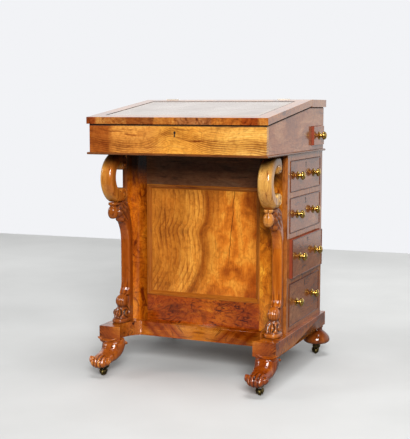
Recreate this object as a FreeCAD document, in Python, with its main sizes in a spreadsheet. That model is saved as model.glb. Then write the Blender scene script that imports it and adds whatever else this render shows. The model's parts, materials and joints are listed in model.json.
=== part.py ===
import FreeCAD, Part
import os
import Sketcher
from types import SimpleNamespace

# Davenport desk: a writing box with a sloping lid on a pedestal of side drawers.
# X runs to the right, Y to the back, Z up. The origin is on the floor, under the middle of the desk.

doc = FreeCAD.newDocument("davenport_desk")
sheet = doc.addObject("Spreadsheet::Sheet", "dims")

SIZES = {
    # heights, from the floor up
    "castor_height": 40,
    "foot_height": 59,
    "plinth_height": 44,
    "pedestal_height": 526,
    "base_board_thickness": 7,
    "case_height": 131,
    "ledge_thickness": 23,
    # depths, from the back of the plinth forward
    "origin_to_back": 271,
    "plinth_step_back": 10,
    "pedestal_depth": 343,
    "case_setback": 7,
    "knee_depth": 192,
    "ledge_depth": 148,
    "plinth_ledge": 23,
    "block_reach": 107,
    # widths
    "case_width": 551,
    "case_step_side": 4,
    "plinth_step_side": 14.5,
    "block_width": 72,
    "overhang": 6.3,
    # writing box
    "case_side_wall": 14,
    "case_front_wall": 16,
    "case_back_wall": 12,
    "lid_front_drop": 52,
    "lid_thickness": 20,
    "lid_gap": 0.8,
    "seam_gap": 0.6,
    "leather_border": 41,
    "leather_thickness": 1.2,
    "leather_gap": 0.2,
    # hinges of the lid
    "hinge_inset": 85.5,
    "hinge_length": 40,
    "hinge_leaf": 1.5,
    "hinge_leaf_height": 17,
    "knuckle_radius": 2.6,
    "hinge_pin_radius": 1.2,
    "knuckle_gap": 0.3,
    "knuckle_room": 0.5,
    "running_clearance": 0.05,
    # locks and keyholes
    "lock_width": 62,
    "lock_height": 38,
    "lock_thickness": 10,
    "lock_drop": 4,
    "link_plate_length": 46,
    "link_plate_width": 12,
    "link_plate_thickness": 1.5,
    "keyhole_radius": 2.6,
    "keyhole_slot": 2.6,
    "keyhole_height": 13,
    "keyhole_drop": 22,
    "drawer_lock_width": 48,
    "drawer_lock_height": 30,
    "drawer_lock_thickness": 8,
    "drawer_keyhole_drop": 11,
    # fitted inside, under the ledge
    "bank_setback": 5,
    "bank_board": 8,
    "bank_shelf_drop": 48,
    "bank_drawer_gap": 0.8,
    "bank_tray_wall": 5,
    "bank_drawer_room": 12,
    # pen drawer
    "pen_width": 105,
    "pen_shelf_room": 3,
    "pen_back_offset": 21,
    "pen_rise": 14,
    "pen_end_room": 30.5,
    "pen_front_thickness": 14,
    "pen_gap": 0.5,
    "pen_runner_width": 12,
    "pen_ajar": 9,
    "tray_wall": 6,
    "tray_bottom": 4,
    # pedestal
    "pedestal_wall": 16,
    "stile_width": 69,
    "top_rail_height": 98,
    "bottom_rail_height": 82,
    "frame_thickness": 18,
    "panel_thickness": 9,
    "panel_moulding_width": 14,
    "panel_moulding_proud": 1.5,
    "corner_stile_width": 23,
    "floor_thickness": 7,
    # drawers in the right side
    "drawer_top_rail": 18,
    "drawer_bottom_rail": 13,
    "drawer_rail": 16.5,
    "drawer_rail_depth": 40,
    "drawer_front_thickness": 19,
    "drawer_gap": 0.8,
    "drawer_wall": 9,
    "drawer_bottom": 6,
    "drawer_lip": 14,
    "drawer_back_room": 20,
    "runner_gap": 0.3,
    "runner_width": 20,
    "drawer_ajar": 9,
    "dummy_front_thickness": 7,
    # turned knobs
    "knob_spacing": 156,
    "knob_length": 24,
    "knob_radius": 11,
    "bank_knob_length": 14,
    "bank_knob_radius": 6.5,
    # carved supports
    "support_inset": 21.5,
    "scroll_width": 42,
    "scroll_height": 148,
    "scroll_reach": 147,
    "column_reach": 115,
    "column_half_width": 24,
    # feet
    "foot_back_offset": 45,
    "foot_reach": 146,
    "foot_drop": 75,
    "foot_half_width": 35,
    "cove_radius": 60,
    "bun_radius": 43,
    "bun_side_inset": 23,
    "bun_back_inset": 18,
    # castors
    "castor_reach": 31,
    "socket_radius": 15,
    "socket_thickness": 6,
    "swivel_radius": 4,
    "swivel_gap": 0.4,
    "crown_radius": 9,
    "crown_thickness": 5,
    "castor_trail": 7,
    "wheel_radius": 10,
    "wheel_width": 9,
    "wheel_edge": 2.5,
    "cheek_thickness": 2,
    "cheek_gap": 0.4,
    "cheek_width": 9,
    "axle_radius": 2,
    "overrun": 2,
}

for row, (alias, number) in enumerate(SIZES.items(), start=1):
    sheet.set(f"A{row}", alias)
    sheet.set(f"B{row}", str(number))
    sheet.setAlias(f"B{row}", alias)
doc.recompute()


class Size:
    """A length with its number and the sheet formula that drives it."""

    def __init__(self, number, formula):
        self.number = number
        self.formula = formula

    def __add__(self, other):
        other = as_size(other)
        return Size(self.number + other.number, f"({self.formula} + {other.formula})")

    def __sub__(self, other):
        other = as_size(other)
        return Size(self.number - other.number, f"({self.formula} - {other.formula})")

    def __mul__(self, other):
        other = as_size(other)
        return Size(self.number * other.number, f"({self.formula} * {other.formula})")

    def __truediv__(self, other):
        other = as_size(other)
        return Size(self.number / other.number, f"({self.formula} / {other.formula})")

    def __neg__(self):
        return Size(-self.number, f"(0 - {self.formula})")


def as_size(value):
    return value if isinstance(value, Size) else Size(value, str(value))


D = SimpleNamespace(**{alias: Size(float(sheet.get(alias)), f"dims.{alias}") for alias in SIZES})
place_row = len(SIZES) + 1


def place(alias, size):
    """Keeps a derived place in the sheet, so that formulas stay short."""
    global place_row
    sheet.set(f"A{place_row}", alias)
    sheet.set(f"B{place_row}", "=" + size.formula.replace("dims.", ""))
    sheet.setAlias(f"B{place_row}", alias)
    place_row += 1
    return Size(size.number, f"dims.{alias}")


# Heights
plinth_bottom = place("plinth_bottom", D.castor_height + D.foot_height)
plinth_top = place("plinth_top", plinth_bottom + D.plinth_height)
pedestal_top = place("pedestal_top", plinth_top + D.pedestal_height)
case_bottom = place("case_bottom", pedestal_top + D.base_board_thickness)
ledge_bottom = place("ledge_bottom", case_bottom + D.case_height)
desk_top = place("desk_top", ledge_bottom + D.ledge_thickness)

# Depths
plinth_back = D.origin_to_back
pedestal_back = place("pedestal_back", plinth_back - D.plinth_step_back)
pedestal_front = place("pedestal_front", pedestal_back - D.pedestal_depth)
case_back = place("case_back", pedestal_back - D.case_setback)
case_front = place("case_front", pedestal_front - D.knee_depth)
ledge_back = place("ledge_back", case_back + D.overhang)
hinge_line = place("hinge_line", ledge_back - D.ledge_depth)
lid_front = place("lid_front", case_front - D.overhang)
plinth_front = place("plinth_front", pedestal_front - D.plinth_ledge)
block_front = place("block_front", plinth_front - D.block_reach)

# Half widths
case_side = place("case_side", D.case_width / 2)
lid_side = place("lid_side", case_side + D.overhang)
pedestal_side = place("pedestal_side", case_side - D.case_step_side)
plinth_side = place("plinth_side", pedestal_side + D.plinth_step_side)
support_side = place("support_side", pedestal_side - D.support_inset)
case_inside = place("case_inside", case_side - D.case_side_wall)
pedestal_inside = place("pedestal_inside", pedestal_side - D.pedestal_wall)

# The slope of the lid, as rise over run
lid_slope = place("lid_slope", D.lid_front_drop / (hinge_line - lid_front))


def lid_top_at(depth):
    return desk_top - lid_slope * (hinge_line - depth)


def lid_under_at(depth):
    return lid_top_at(depth) - D.lid_thickness


def bind(obj, **sizes):
    """Ties properties of an object to the sheet; a double underscore stands for a dot."""
    for name, value in sizes.items():
        obj.setExpression(name.replace("__", "."), as_size(value).formula)


def board(label, x, y, z):
    """A plain board between low and high places along each axis."""
    box = doc.addObject("Part::Box", label)
    bind(box, Length=x[1] - x[0], Width=y[1] - y[0], Height=z[1] - z[0])
    bind(box, Placement__Base__x=x[0], Placement__Base__y=y[0], Placement__Base__z=z[0])
    return box


QUARTER_TURN = 90


def rod(label, axis, radius, length, base):
    """A round bar along an axis, from its base point."""
    turns = {
        "X": FreeCAD.Rotation(FreeCAD.Vector(0, 1, 0), QUARTER_TURN),
        "Y": FreeCAD.Rotation(FreeCAD.Vector(1, 0, 0), -QUARTER_TURN),
        "Z": FreeCAD.Rotation(),
    }
    bar = doc.addObject("Part::Cylinder", label)
    bar.Placement.Rotation = turns[axis]
    bind(bar, Radius=radius, Height=length)
    bind(bar, Placement__Base__x=base[0], Placement__Base__y=base[1], Placement__Base__z=base[2])
    return bar


def fused(label, shapes):
    joined = doc.addObject("Part::MultiFuse", label)
    joined.Shapes = shapes
    return joined


def cut(label, base, tool):
    result = doc.addObject("Part::Cut", label)
    result.Base = base
    result.Tool = tool
    return result


def group(label, solids):
    """Like pieces that share one node."""
    compound = doc.addObject("Part::Compound", label)
    compound.Links = solids
    return compound


def mirrored(label, source):
    """The left-hand twin of a right-hand piece."""
    twin = doc.addObject("Part::Mirroring", label)
    twin.Source = source
    twin.Normal = FreeCAD.Vector(1, 0, 0)
    return twin


def outline(body, plane, steps):
    """A closed sketch of lines and arcs; a step marked via is a point that an arc passes through."""
    sketch = body.newObject("Sketcher::SketchObject", body.Name + "_outline")
    base_plane = next(item for item in body.Origin.OriginFeatures if item.Role == plane)
    sketch.AttachmentSupport = [(base_plane, "")]
    sketch.MapMode = "FlatFace"

    def vector(step):
        return FreeCAD.Vector(as_size(step[-2]).number, as_size(step[-1]).number, 0)

    def pin(geometry, point, step):
        for kind, axis, size in (("DistanceX", -2, step[-2]), ("DistanceY", -1, step[-1])):
            if as_size(size).number == 0:
                sketch.addConstraint(Sketcher.Constraint("PointOnObject", geometry, point, axis))
                continue
            held = Sketcher.Constraint(kind, -1, 1, geometry, point, as_size(size).number)
            index = sketch.addConstraint(held)
            sketch.setExpression(f"Constraints[{index}]", as_size(size).formula)

    corners = [index for index, step in enumerate(steps) if step[0] != "via"]
    ends = []
    for here, following in zip(corners, corners[1:] + corners[:1]):
        start, finish = vector(steps[here]), vector(steps[following])
        between = steps[here + 1] if here + 1 < len(steps) else steps[0]
        if between[0] != "via":
            segment = sketch.addGeometry(Part.LineSegment(start, finish))
            ends.append((segment, 1, 2))
        else:
            segment = sketch.addGeometry(Part.Arc(start, vector(between), finish))
            forward = sketch.getPoint(segment, 1).distanceToPoint(start)
            backward = sketch.getPoint(segment, 2).distanceToPoint(start)
            ends.append((segment, 1, 2) if forward < backward else (segment, 2, 1))
            through = sketch.addGeometry(Part.Point(vector(between)))
            pin(through, 1, between)
            sketch.addConstraint(Sketcher.Constraint("PointOnObject", through, 1, segment))
        pin(segment, ends[-1][1], steps[here])
    for (segment, _, last), (following, first, _) in zip(ends, ends[1:] + ends[:1]):
        sketch.addConstraint(Sketcher.Constraint("Coincident", segment, last, following, first))
    return sketch


NORMALS = {"XY_Plane": ("z", 1), "YZ_Plane": ("x", 1), "XZ_Plane": ("y", -1)}


def shaped(label, plane, steps, low, high):
    """A piece cut to an outline and running from low to high, square to its plane."""
    body = doc.addObject("PartDesign::Body", label)
    pad = body.newObject("PartDesign::Pad", label + "_pad")
    pad.Profile = outline(body, plane, steps)
    bind(pad, Length=high - low)
    axis, sense = NORMALS[plane]
    body.setExpression(f"Placement.Base.{axis}", (low if sense > 0 else high).formula)
    return body


def turned(label, plane, axis, steps):
    """A piece turned on a lathe from half of its profile."""
    body = doc.addObject("PartDesign::Body", label)
    revolution = body.newObject("PartDesign::Revolution", label + "_turning")
    sketch = outline(body, plane, steps)
    revolution.Profile = sketch
    revolution.ReferenceAxis = (sketch, [axis])
    revolution.Angle = 360
    return body


def moved(piece, x, y, z, turn=0):
    piece.Placement.Rotation = FreeCAD.Rotation(FreeCAD.Vector(0, 0, 1), turn)
    bind(piece, Placement__Base__x=x, Placement__Base__y=y, Placement__Base__z=z)
    return piece


def by_shares(shares, across, across_size, up, up_size):
    """Outline steps from hand-chosen shares of two sizes."""
    return [
        (*share[:-2], across + across_size * share[-2], up + up_size * share[-1]) for share in shares
    ]


nodes = {}


def node(label, piece):
    piece.Label = label
    nodes[label] = piece
    return piece


def keyhole(label, x, y, z):
    """A cutter for a round hole with a slot below it, through a front; one pair is the thickness."""
    drop = D.keyhole_height - D.keyhole_radius * 2
    if isinstance(x, tuple):
        depth = x[1] - x[0]
        hole = rod(label + "_hole", "X", D.keyhole_radius, depth, (x[0], y, z))
        slot_y = (y - D.keyhole_slot / 2, y + D.keyhole_slot / 2)
        slot = board(label + "_slot", x, slot_y, (z - drop - D.keyhole_radius, z))
    else:
        depth = y[1] - y[0]
        hole = rod(label + "_hole", "Y", D.keyhole_radius, depth, (x, y[0], z))
        slot_x = (x - D.keyhole_slot / 2, x + D.keyhole_slot / 2)
        slot = board(label + "_slot", slot_x, y, (z - drop - D.keyhole_radius, z))
    return fused(label, [hole, slot])


middle = as_size(0)

# Writing box: base board with a moulded edge, four walls, flat ledge at the back
board_side = (-lid_side, lid_side)
node("case_base_board", board("base_board", board_side, (lid_front, ledge_back), (pedestal_top, case_bottom)))

front_inner = case_front + D.case_front_wall
front_steps = [
    (case_front, case_bottom),
    (front_inner, case_bottom),
    (front_inner, lid_under_at(front_inner) - D.lid_gap),
    (case_front, lid_under_at(case_front) - D.lid_gap),
]
front_board = shaped("front_board", "YZ_Plane", front_steps, -case_side, case_side)
keyhole_z = lid_under_at(case_front) - D.keyhole_drop
front_cut_y = (case_front - D.overrun, front_inner + D.overrun)
case_keyhole = keyhole("case_keyhole", middle, front_cut_y, keyhole_z)
node("case_front", cut("case_front_cut", front_board, case_keyhole))

side_steps = [
    (front_inner, case_bottom),
    (case_back, case_bottom),
    (case_back, ledge_bottom),
    (hinge_line, ledge_bottom),
    (hinge_line, lid_under_at(hinge_line) - D.lid_gap),
    (front_inner, lid_under_at(front_inner) - D.lid_gap),
]
node("case_left_side", shaped("left_wall", "YZ_Plane", side_steps, -case_side, -case_inside))
right_wall = shaped("right_wall", "YZ_Plane", side_steps, case_inside, case_side)
pen_back = place("pen_back", case_back - D.pen_back_offset)
pen_front = place("pen_front", pen_back - D.pen_width)
pen_bottom = place("pen_bottom", case_bottom + D.pen_rise)
shelf_top = place("shelf_top", ledge_bottom - D.bank_shelf_drop)
shelf_bottom = place("shelf_bottom", shelf_top - D.bank_board)
pen_top = place("pen_top", shelf_bottom - D.pen_shelf_room)
pen_mouth = board(
    "pen_mouth",
    (case_inside - D.overrun, case_side + D.overrun),
    (pen_front - D.pen_gap, pen_back + D.pen_gap),
    (pen_bottom - D.runner_gap, pen_top + D.pen_gap),
)
node("case_right_side", cut("right_wall_cut", right_wall, pen_mouth))

back_inner = place("back_inner", case_back - D.case_back_wall)
inside = (-case_inside, case_inside)
node("case_back", board("case_back_board", inside, (back_inner, case_back), (case_bottom, ledge_bottom)))

# Lid hinges: leaves let into the seam, knuckles half sunk in the top
ledge_front = hinge_line + D.seam_gap / 2
lid_back = hinge_line - D.seam_gap / 2
hinge_side = case_side - D.hinge_inset
hinge_places = [-hinge_side, hinge_side]
knuckle_third = D.hinge_length / 3
notch_half = D.knuckle_radius + D.knuckle_room
leaf_top = desk_top - notch_half


def hinge_notch(label, centre, leaf_y, reach):
    """Room in the wood for one leaf and for the whole knuckle."""
    half = D.hinge_length / 2
    span = (centre - half, centre + half)
    leaf = board(label + "_leaf", span, leaf_y, (leaf_top - D.hinge_leaf_height, leaf_top + D.overrun))
    trough = board(label + "_trough", span, reach, (leaf_top, desk_top + D.overrun))
    return fused(label, [leaf, trough])


def hinge_half(label, centre, leaf_y, thirds):
    """A leaf with its knuckles, bored for the pin."""
    half = D.hinge_length / 2
    span = (centre - half, centre + half)
    shapes = [board(label + "_plate", span, leaf_y, (leaf_top - D.hinge_leaf_height, leaf_top))]
    for third in thirds:
        low = centre - half + knuckle_third * third
        length = knuckle_third - D.knuckle_gap
        reach = (low, low + length)
        shapes.append(board(f"{label}_web_{third}", reach, leaf_y, (leaf_top, desk_top)))
        start = (low, hinge_line, desk_top)
        shapes.append(rod(f"{label}_knuckle_{third}", "X", D.knuckle_radius, length, start))
    bore_radius = D.hinge_pin_radius + D.running_clearance
    bore_start = (centre - half - D.overrun, hinge_line, desk_top)
    bore = rod(label + "_bore", "X", bore_radius, D.hinge_length + D.overrun * 2, bore_start)
    return cut(label, fused(label + "_solid", shapes), bore)


ledge_leaf_y = (ledge_front, ledge_front + D.hinge_leaf)
lid_leaf_y = (lid_back - D.hinge_leaf, lid_back)
ledge_notches, lid_notches, fixed_leaves, moving_leaves, pins = [], [], [], [], []
for side, centre in zip(("left", "right"), hinge_places):
    trough_reach = (hinge_line - notch_half, hinge_line + notch_half)
    ledge_notches.append(hinge_notch(f"{side}_ledge_notch", centre, ledge_leaf_y, trough_reach))
    lid_notches.append(hinge_notch(f"{side}_lid_notch", centre, lid_leaf_y, trough_reach))
    fixed_leaves.append(hinge_half(f"{side}_fixed_leaf", centre, ledge_leaf_y, (0, 2)))
    moving_leaves.append(hinge_half(f"{side}_moving_leaf", centre, lid_leaf_y, (1,)))
    pin_start = (centre - D.hinge_length / 2, hinge_line, desk_top)
    pins.append(rod(f"{side}_hinge_pin", "X", D.hinge_pin_radius, D.hinge_length, pin_start))
node("hinge_fixed_leaves", group("fixed_leaves", fixed_leaves))
node("hinge_pins", group("pins", pins))
node("hinge_moving_leaves", group("moving_leaves", moving_leaves))

ledge_blank = board("ledge_blank", board_side, (ledge_front, ledge_back), (ledge_bottom, desk_top))
node("back_ledge", cut("ledge_cut", ledge_blank, fused("ledge_notches", ledge_notches)))

# Lid: a sloping board with a leather inset in its top
lid_steps = [
    (lid_front, lid_under_at(lid_front)),
    (lid_back, lid_under_at(lid_back)),
    (lid_back, lid_top_at(lid_back)),
    (lid_front, lid_top_at(lid_front)),
]
lid_blank = shaped("lid_blank", "YZ_Plane", lid_steps, -lid_side, lid_side)


def inset_steps(front, back, rise):
    """The section of a sheet that lies in the top of the lid."""
    return [
        (front, lid_top_at(front) - D.leather_thickness),
        (back, lid_top_at(back) - D.leather_thickness),
        (back, lid_top_at(back) + rise),
        (front, lid_top_at(front) + rise),
    ]


inset_side = lid_side - D.leather_border
inset_front = lid_front + D.leather_border
inset_back = lid_back - D.leather_border
recess_steps = inset_steps(inset_front, inset_back, D.overrun)
recess = shaped("leather_recess", "YZ_Plane", recess_steps, -inset_side, inset_side)
node("lid_frame", cut("lid_cut", lid_blank, fused("lid_cutters", [recess] + lid_notches)))
leather_side = inset_side - D.leather_gap
leather_steps = inset_steps(inset_front + D.leather_gap, inset_back - D.leather_gap, middle)
node("leather_inset", shaped("leather_sheet", "YZ_Plane", leather_steps, -leather_side, leather_side))

# Box lock behind the keyhole, and its link plate under the lid
lock_back = front_inner + D.lock_thickness
lock_top = lid_under_at(front_inner) - D.lock_drop
lock_span = (-(D.lock_width / 2), D.lock_width / 2)
lock_levels = (lock_top - D.lock_height, lock_top)
node("lid_lock", board("lock_case", lock_span, (front_inner, lock_back), lock_levels))
plate_front = front_inner + D.link_plate_thickness
plate_back = plate_front + D.link_plate_width
plate_half = D.link_plate_length / 2
plate_steps = [
    (plate_front, lid_under_at(plate_front) - D.link_plate_thickness),
    (plate_back, lid_under_at(plate_back) - D.link_plate_thickness),
    (plate_back, lid_under_at(plate_back)),
    (plate_front, lid_under_at(plate_front)),
]
node("lock_link_plate", shaped("link_plate", "YZ_Plane", plate_steps, -plate_half, plate_half))

KNOB_SHARES = [
    (0.0, 0.0),
    (0.0, 0.80),
    (0.09, 0.80),
    ("via", 0.20, 0.46),
    (0.38, 0.40),
    ("via", 0.45, 0.72),
    (0.64, 1.0),
    ("via", 0.86, 0.84),
    (0.96, 0.42),
    (1.0, 0.0),
]


def knob(label, length, radius, x, y, z, turn=0):
    """A turned knob with a flange, a neck and a mushroom head, pointing along X before its turn."""
    steps = []
    for share in KNOB_SHARES:
        along = length * share[-2] if share[-2] else 0
        out = radius * share[-1] if share[-1] else 0
        steps.append((*share[:-2], along, out))
    return moved(turned(label, "XY_Plane", "H_Axis", steps), x, y, z, turn)


# Fitted inside: shelf and dividers under the ledge, a small drawer on the left, a dummy front on the right
bank_front = place("bank_front", hinge_line + D.bank_setback)
bank_face = (bank_front, bank_front + D.bank_board)
divider_half = D.bank_board / 2
divider = (-divider_half, divider_half)
bank_depth = (bank_front, back_inner)
pen_runner_z = (case_bottom, pen_bottom - D.runner_gap)
pen_runner_x = (divider_half, case_inside)
front_runner_y = (pen_front, pen_front + D.pen_runner_width)
back_runner_y = (pen_back - D.pen_runner_width, pen_back)
node(
    "bank_partitions",
    group(
        "partitions",
        [
            board("bank_shelf", inside, bank_depth, (shelf_bottom, shelf_top)),
            board("lower_divider", divider, bank_depth, (case_bottom, shelf_bottom)),
            board("upper_divider", divider, bank_depth, (shelf_top, ledge_bottom)),
            board("bank_dummy_front", pen_runner_x, bank_face, (case_bottom, shelf_bottom)),
            board("front_pen_runner", pen_runner_x, front_runner_y, pen_runner_z),
            board("back_pen_runner", pen_runner_x, back_runner_y, pen_runner_z),
        ],
    ),
)
bank_z = (case_bottom + D.bank_drawer_gap, shelf_bottom - D.bank_drawer_gap)
bank_mid_z = (case_bottom + shelf_bottom) / 2
bank_mid_x = (divider_half + case_inside) / 2
bank_x = (-case_inside + D.bank_drawer_gap, -divider_half - D.bank_drawer_gap)
node("bank_drawer_front", board("bank_front_board", bank_x, bank_face, bank_z))


def tray(label, x, y, z, open_wall, wall, bottom):
    """A shallow box of thin boards behind a drawer front, which closes the side named open_wall."""
    floor_z = (z[0], z[0] + bottom)
    wall_z = (z[0] + bottom, z[1])
    boards = [board(label + "_bottom", x, y, floor_z)]
    inner_y = (y[0] + wall, y[1] - wall)
    inner_x = (x[0] + wall, x[1] - wall)
    if open_wall == "right":
        boards.append(board(label + "_front_side", x, (y[0], inner_y[0]), wall_z))
        boards.append(board(label + "_back_side", x, (inner_y[1], y[1]), wall_z))
        boards.append(board(label + "_end", (x[0], inner_x[0]), inner_y, wall_z))
    else:
        boards.append(board(label + "_left_side", (x[0], inner_x[0]), y, wall_z))
        boards.append(board(label + "_right_side", (inner_x[1], x[1]), y, wall_z))
        boards.append(board(label + "_end", inner_x, (inner_y[1], y[1]), wall_z))
    return group(label, boards)


bank_tray_y = (bank_face[1], back_inner - D.bank_drawer_room)
bank_tray_z = (case_bottom + D.runner_gap, shelf_bottom - D.bank_drawer_room)
bank_tray = tray("bank_tray", bank_x, bank_tray_y, bank_tray_z, "front", D.bank_tray_wall, D.tray_bottom)
node("bank_drawer_tray", bank_tray)
bank_knob_sizes = (D.bank_knob_length, D.bank_knob_radius)
bank_knob = knob("bank_knob", *bank_knob_sizes, -bank_mid_x, bank_front, bank_mid_z, -QUARTER_TURN)
node("bank_drawer_knob", bank_knob)

# Pen drawer in the right side of the writing box, standing a little open
pen_face = case_side + D.pen_ajar
pen_front_x = (pen_face - D.pen_front_thickness, pen_face)
pen_y = (pen_front, pen_back)
pen_z = (pen_bottom, pen_top)
node("pen_drawer_front", board("pen_front_board", pen_front_x, pen_y, pen_z))
pen_tray_x = (divider_half + D.pen_end_room, pen_front_x[0])
pen_tray_z = (pen_bottom, pen_top - D.drawer_lip)
node("pen_drawer_tray", tray("pen_tray", pen_tray_x, pen_y, pen_tray_z, "right", D.tray_wall, D.tray_bottom))
pen_mid_y = (pen_front + pen_back) / 2
pen_mid_z = (pen_bottom + pen_top) / 2
node("pen_drawer_knob", knob("pen_knob", D.knob_length, D.knob_radius, pen_face, pen_mid_y, pen_mid_z))

# Pedestal front: stiles and rails round a figured panel with a bead moulding
frame_back = pedestal_front + D.frame_thickness
frame_y = (pedestal_front, frame_back)
stile_inner = place("stile_inner", pedestal_inside - D.stile_width)
panel_bottom = place("panel_bottom", plinth_top + D.bottom_rail_height)
panel_top = place("panel_top", pedestal_top - D.top_rail_height)
full_height = (plinth_top, pedestal_top)
opening = (-stile_inner, stile_inner)
node(
    "front_frame",
    group(
        "front_frame_boards",
        [
            board("left_front_stile", (-pedestal_inside, -stile_inner), frame_y, full_height),
            board("right_front_stile", (stile_inner, pedestal_inside), frame_y, full_height),
            board("front_top_rail", opening, frame_y, (panel_top, pedestal_top)),
            board("front_bottom_rail", opening, frame_y, (plinth_top, panel_bottom)),
        ],
    ),
)
panel_face = frame_back - D.panel_thickness
node("front_panel", board("panel_board", opening, (panel_face, frame_back), (panel_bottom, panel_top)))
bead = D.panel_moulding_width
bead_low, bead_high = panel_bottom + bead, panel_top - bead
bead_side = stile_inner - bead
bead_outlines = {
    "bead_bottom": [
        (-stile_inner, panel_bottom),
        (stile_inner, panel_bottom),
        (bead_side, bead_low),
        (-bead_side, bead_low),
    ],
    "bead_top": [
        (-stile_inner, panel_top),
        (-bead_side, bead_high),
        (bead_side, bead_high),
        (stile_inner, panel_top),
    ],
    "bead_left": [
        (-stile_inner, panel_bottom),
        (-bead_side, bead_low),
        (-bead_side, bead_high),
        (-stile_inner, panel_top),
    ],
    "bead_right": [
        (stile_inner, panel_bottom),
        (stile_inner, panel_top),
        (bead_side, bead_high),
        (bead_side, bead_low),
    ],
}
bead_front = pedestal_front - D.panel_moulding_proud
bead_strips = [
    shaped(label, "XZ_Plane", steps, bead_front, panel_face) for label, steps in bead_outlines.items()
]
node("front_panel_moulding", group("bead_strips", bead_strips))

# Right side: corner stiles, rails between the drawers, runners behind them, floor and back
corner_front = place("corner_front", pedestal_front + D.corner_stile_width)
corner_back = place("corner_back", pedestal_back - D.corner_stile_width)
side_x = (pedestal_inside, pedestal_side)
drawer_ceiling = pedestal_top - D.drawer_top_rail
drawer_floor = plinth_top + D.drawer_bottom_rail
drawer_room = drawer_ceiling - drawer_floor - D.drawer_rail * 3
DRAWER_HEIGHT_SHARES = [0.209, 0.236, 0.263, 0.292]
drawer_spans = []
level = drawer_ceiling
for number, share in enumerate(DRAWER_HEIGHT_SHARES, start=1):
    low = place(f"drawer_{number}_low", level - drawer_room * share)
    high = place(f"drawer_{number}_high", level)
    drawer_spans.append((low, high))
    level = low - D.drawer_rail

stiles = [
    board("front_corner_stile", side_x, (pedestal_front, corner_front), full_height),
    board("back_corner_stile", side_x, (corner_back, pedestal_back), full_height),
]
rail_x = (pedestal_side - D.drawer_rail_depth, pedestal_side)
rail_y = (corner_front, corner_back)
rail_levels = [(drawer_ceiling, pedestal_top)]
rail_levels += [(upper[0] - D.drawer_rail, upper[0]) for upper in drawer_spans[:3]]
rail_levels.append((plinth_top, drawer_spans[3][0]))
rails = [board(f"drawer_rail_{index}", rail_x, rail_y, levels) for index, levels in enumerate(rail_levels, 1)]
node("drawer_face_frame", group("face_frame", stiles + rails))

inside_back = pedestal_back - D.pedestal_wall
floor_top = plinth_top + D.floor_thickness
runner_x = (-pedestal_inside, rail_x[0])
runner_tracks = [(frame_back, frame_back + D.runner_width), (inside_back - D.runner_width, inside_back)]
runner_levels = rail_levels[1:4] + [(floor_top, drawer_spans[3][0])]
runners = []
for index, levels in enumerate(runner_levels, start=1):
    for track_name, track in zip(("front", "back"), runner_tracks):
        seat = (levels[0], levels[1] - D.runner_gap)
        runners.append(board(f"{track_name}_runner_{index}", runner_x, track, seat))
node("drawer_runners", group("runners", runners))
floor_x = (-pedestal_inside, rail_x[0])
node("pedestal_floor", board("floor_board", floor_x, (frame_back, inside_back), (plinth_top, floor_top)))
back_x = (-pedestal_inside, pedestal_inside)
node("back_board", board("pedestal_back_board", back_x, (inside_back, pedestal_back), full_height))

# Left side: one board with four shallow recesses that hold dummy drawer fronts
left_x = (-pedestal_side, -pedestal_inside)
left_blank = board("left_blank", left_x, (pedestal_front, pedestal_back), full_height)
dummy_y = (corner_front, corner_back)
dummy_x = (-pedestal_side, -pedestal_side + D.dummy_front_thickness)
recesses = []
dummies = []
for number, span in enumerate(drawer_spans, start=1):
    recess_x = (-pedestal_side - D.overrun, dummy_x[1])
    recesses.append(board(f"dummy_recess_{number}", recess_x, dummy_y, span))
    fitted_y = (dummy_y[0] + D.drawer_gap, dummy_y[1] - D.drawer_gap)
    fitted_z = (span[0] + D.drawer_gap, span[1] - D.drawer_gap)
    dummies.append(board(f"dummy_drawer_{number}", dummy_x, fitted_y, fitted_z))
node("left_side", cut("left_side_cut", left_blank, fused("dummy_recesses", recesses)))
node("dummy_drawer_fronts", group("dummy_fronts", dummies))

# Four drawers; the third stands a little open
drawer_mid = (corner_front + corner_back) / 2
knob_places = [drawer_mid - D.knob_spacing / 2, drawer_mid + D.knob_spacing / 2]
dummy_knobs = []
for number, span in enumerate(drawer_spans, start=1):
    face = pedestal_side + D.drawer_ajar if number == 3 else pedestal_side
    name = f"drawer_{number}"
    front_x = (face - D.drawer_front_thickness, face)
    front_y = (corner_front + D.drawer_gap, corner_back - D.drawer_gap)
    front_z = (span[0] + D.drawer_gap, span[1] - D.drawer_gap)
    blank = board(f"{name}_blank", front_x, front_y, front_z)
    hole_x = (front_x[0] - D.overrun, face + D.overrun)
    hole_z = span[1] - D.drawer_keyhole_drop
    hole = keyhole(f"{name}_keyhole", hole_x, drawer_mid, hole_z)
    node(f"{name}_front", cut(f"{name}_front_cut", blank, hole))

    box_x = (-pedestal_inside + D.drawer_back_room + (face - pedestal_side), front_x[0])
    box_z = (span[0], span[1] - D.drawer_lip)
    node(f"{name}_box", tray(f"{name}_tray", box_x, front_y, box_z, "right", D.drawer_wall, D.drawer_bottom))

    lock_x = (front_x[0] - D.drawer_lock_thickness, front_x[0])
    lock_y = (drawer_mid - D.drawer_lock_width / 2, drawer_mid + D.drawer_lock_width / 2)
    lock_z = (front_z[1] - D.drawer_lock_height, front_z[1])
    node(f"{name}_lock", board(f"{name}_lock_case", lock_x, lock_y, lock_z))

    height = (span[0] + span[1]) / 2
    pair = []
    for index, across in enumerate(knob_places, start=1):
        sizes = (D.knob_length, D.knob_radius)
        pair.append(knob(f"{name}_knob_{index}", *sizes, face, across, height))
        twin = f"dummy_knob_{number}_{index}"
        dummy_knobs.append(knob(twin, *sizes, -pedestal_side, across, height, QUARTER_TURN * 2))
    node(f"{name}_knobs", group(f"{name}_knob_pair", pair))
bank_twin = knob("bank_dummy_knob", *bank_knob_sizes, bank_mid_x, bank_front, bank_mid_z, -QUARTER_TURN)
dummy_knobs.append(bank_twin)
node("dummy_knobs", group("dummy_knob_set", dummy_knobs))

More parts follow.
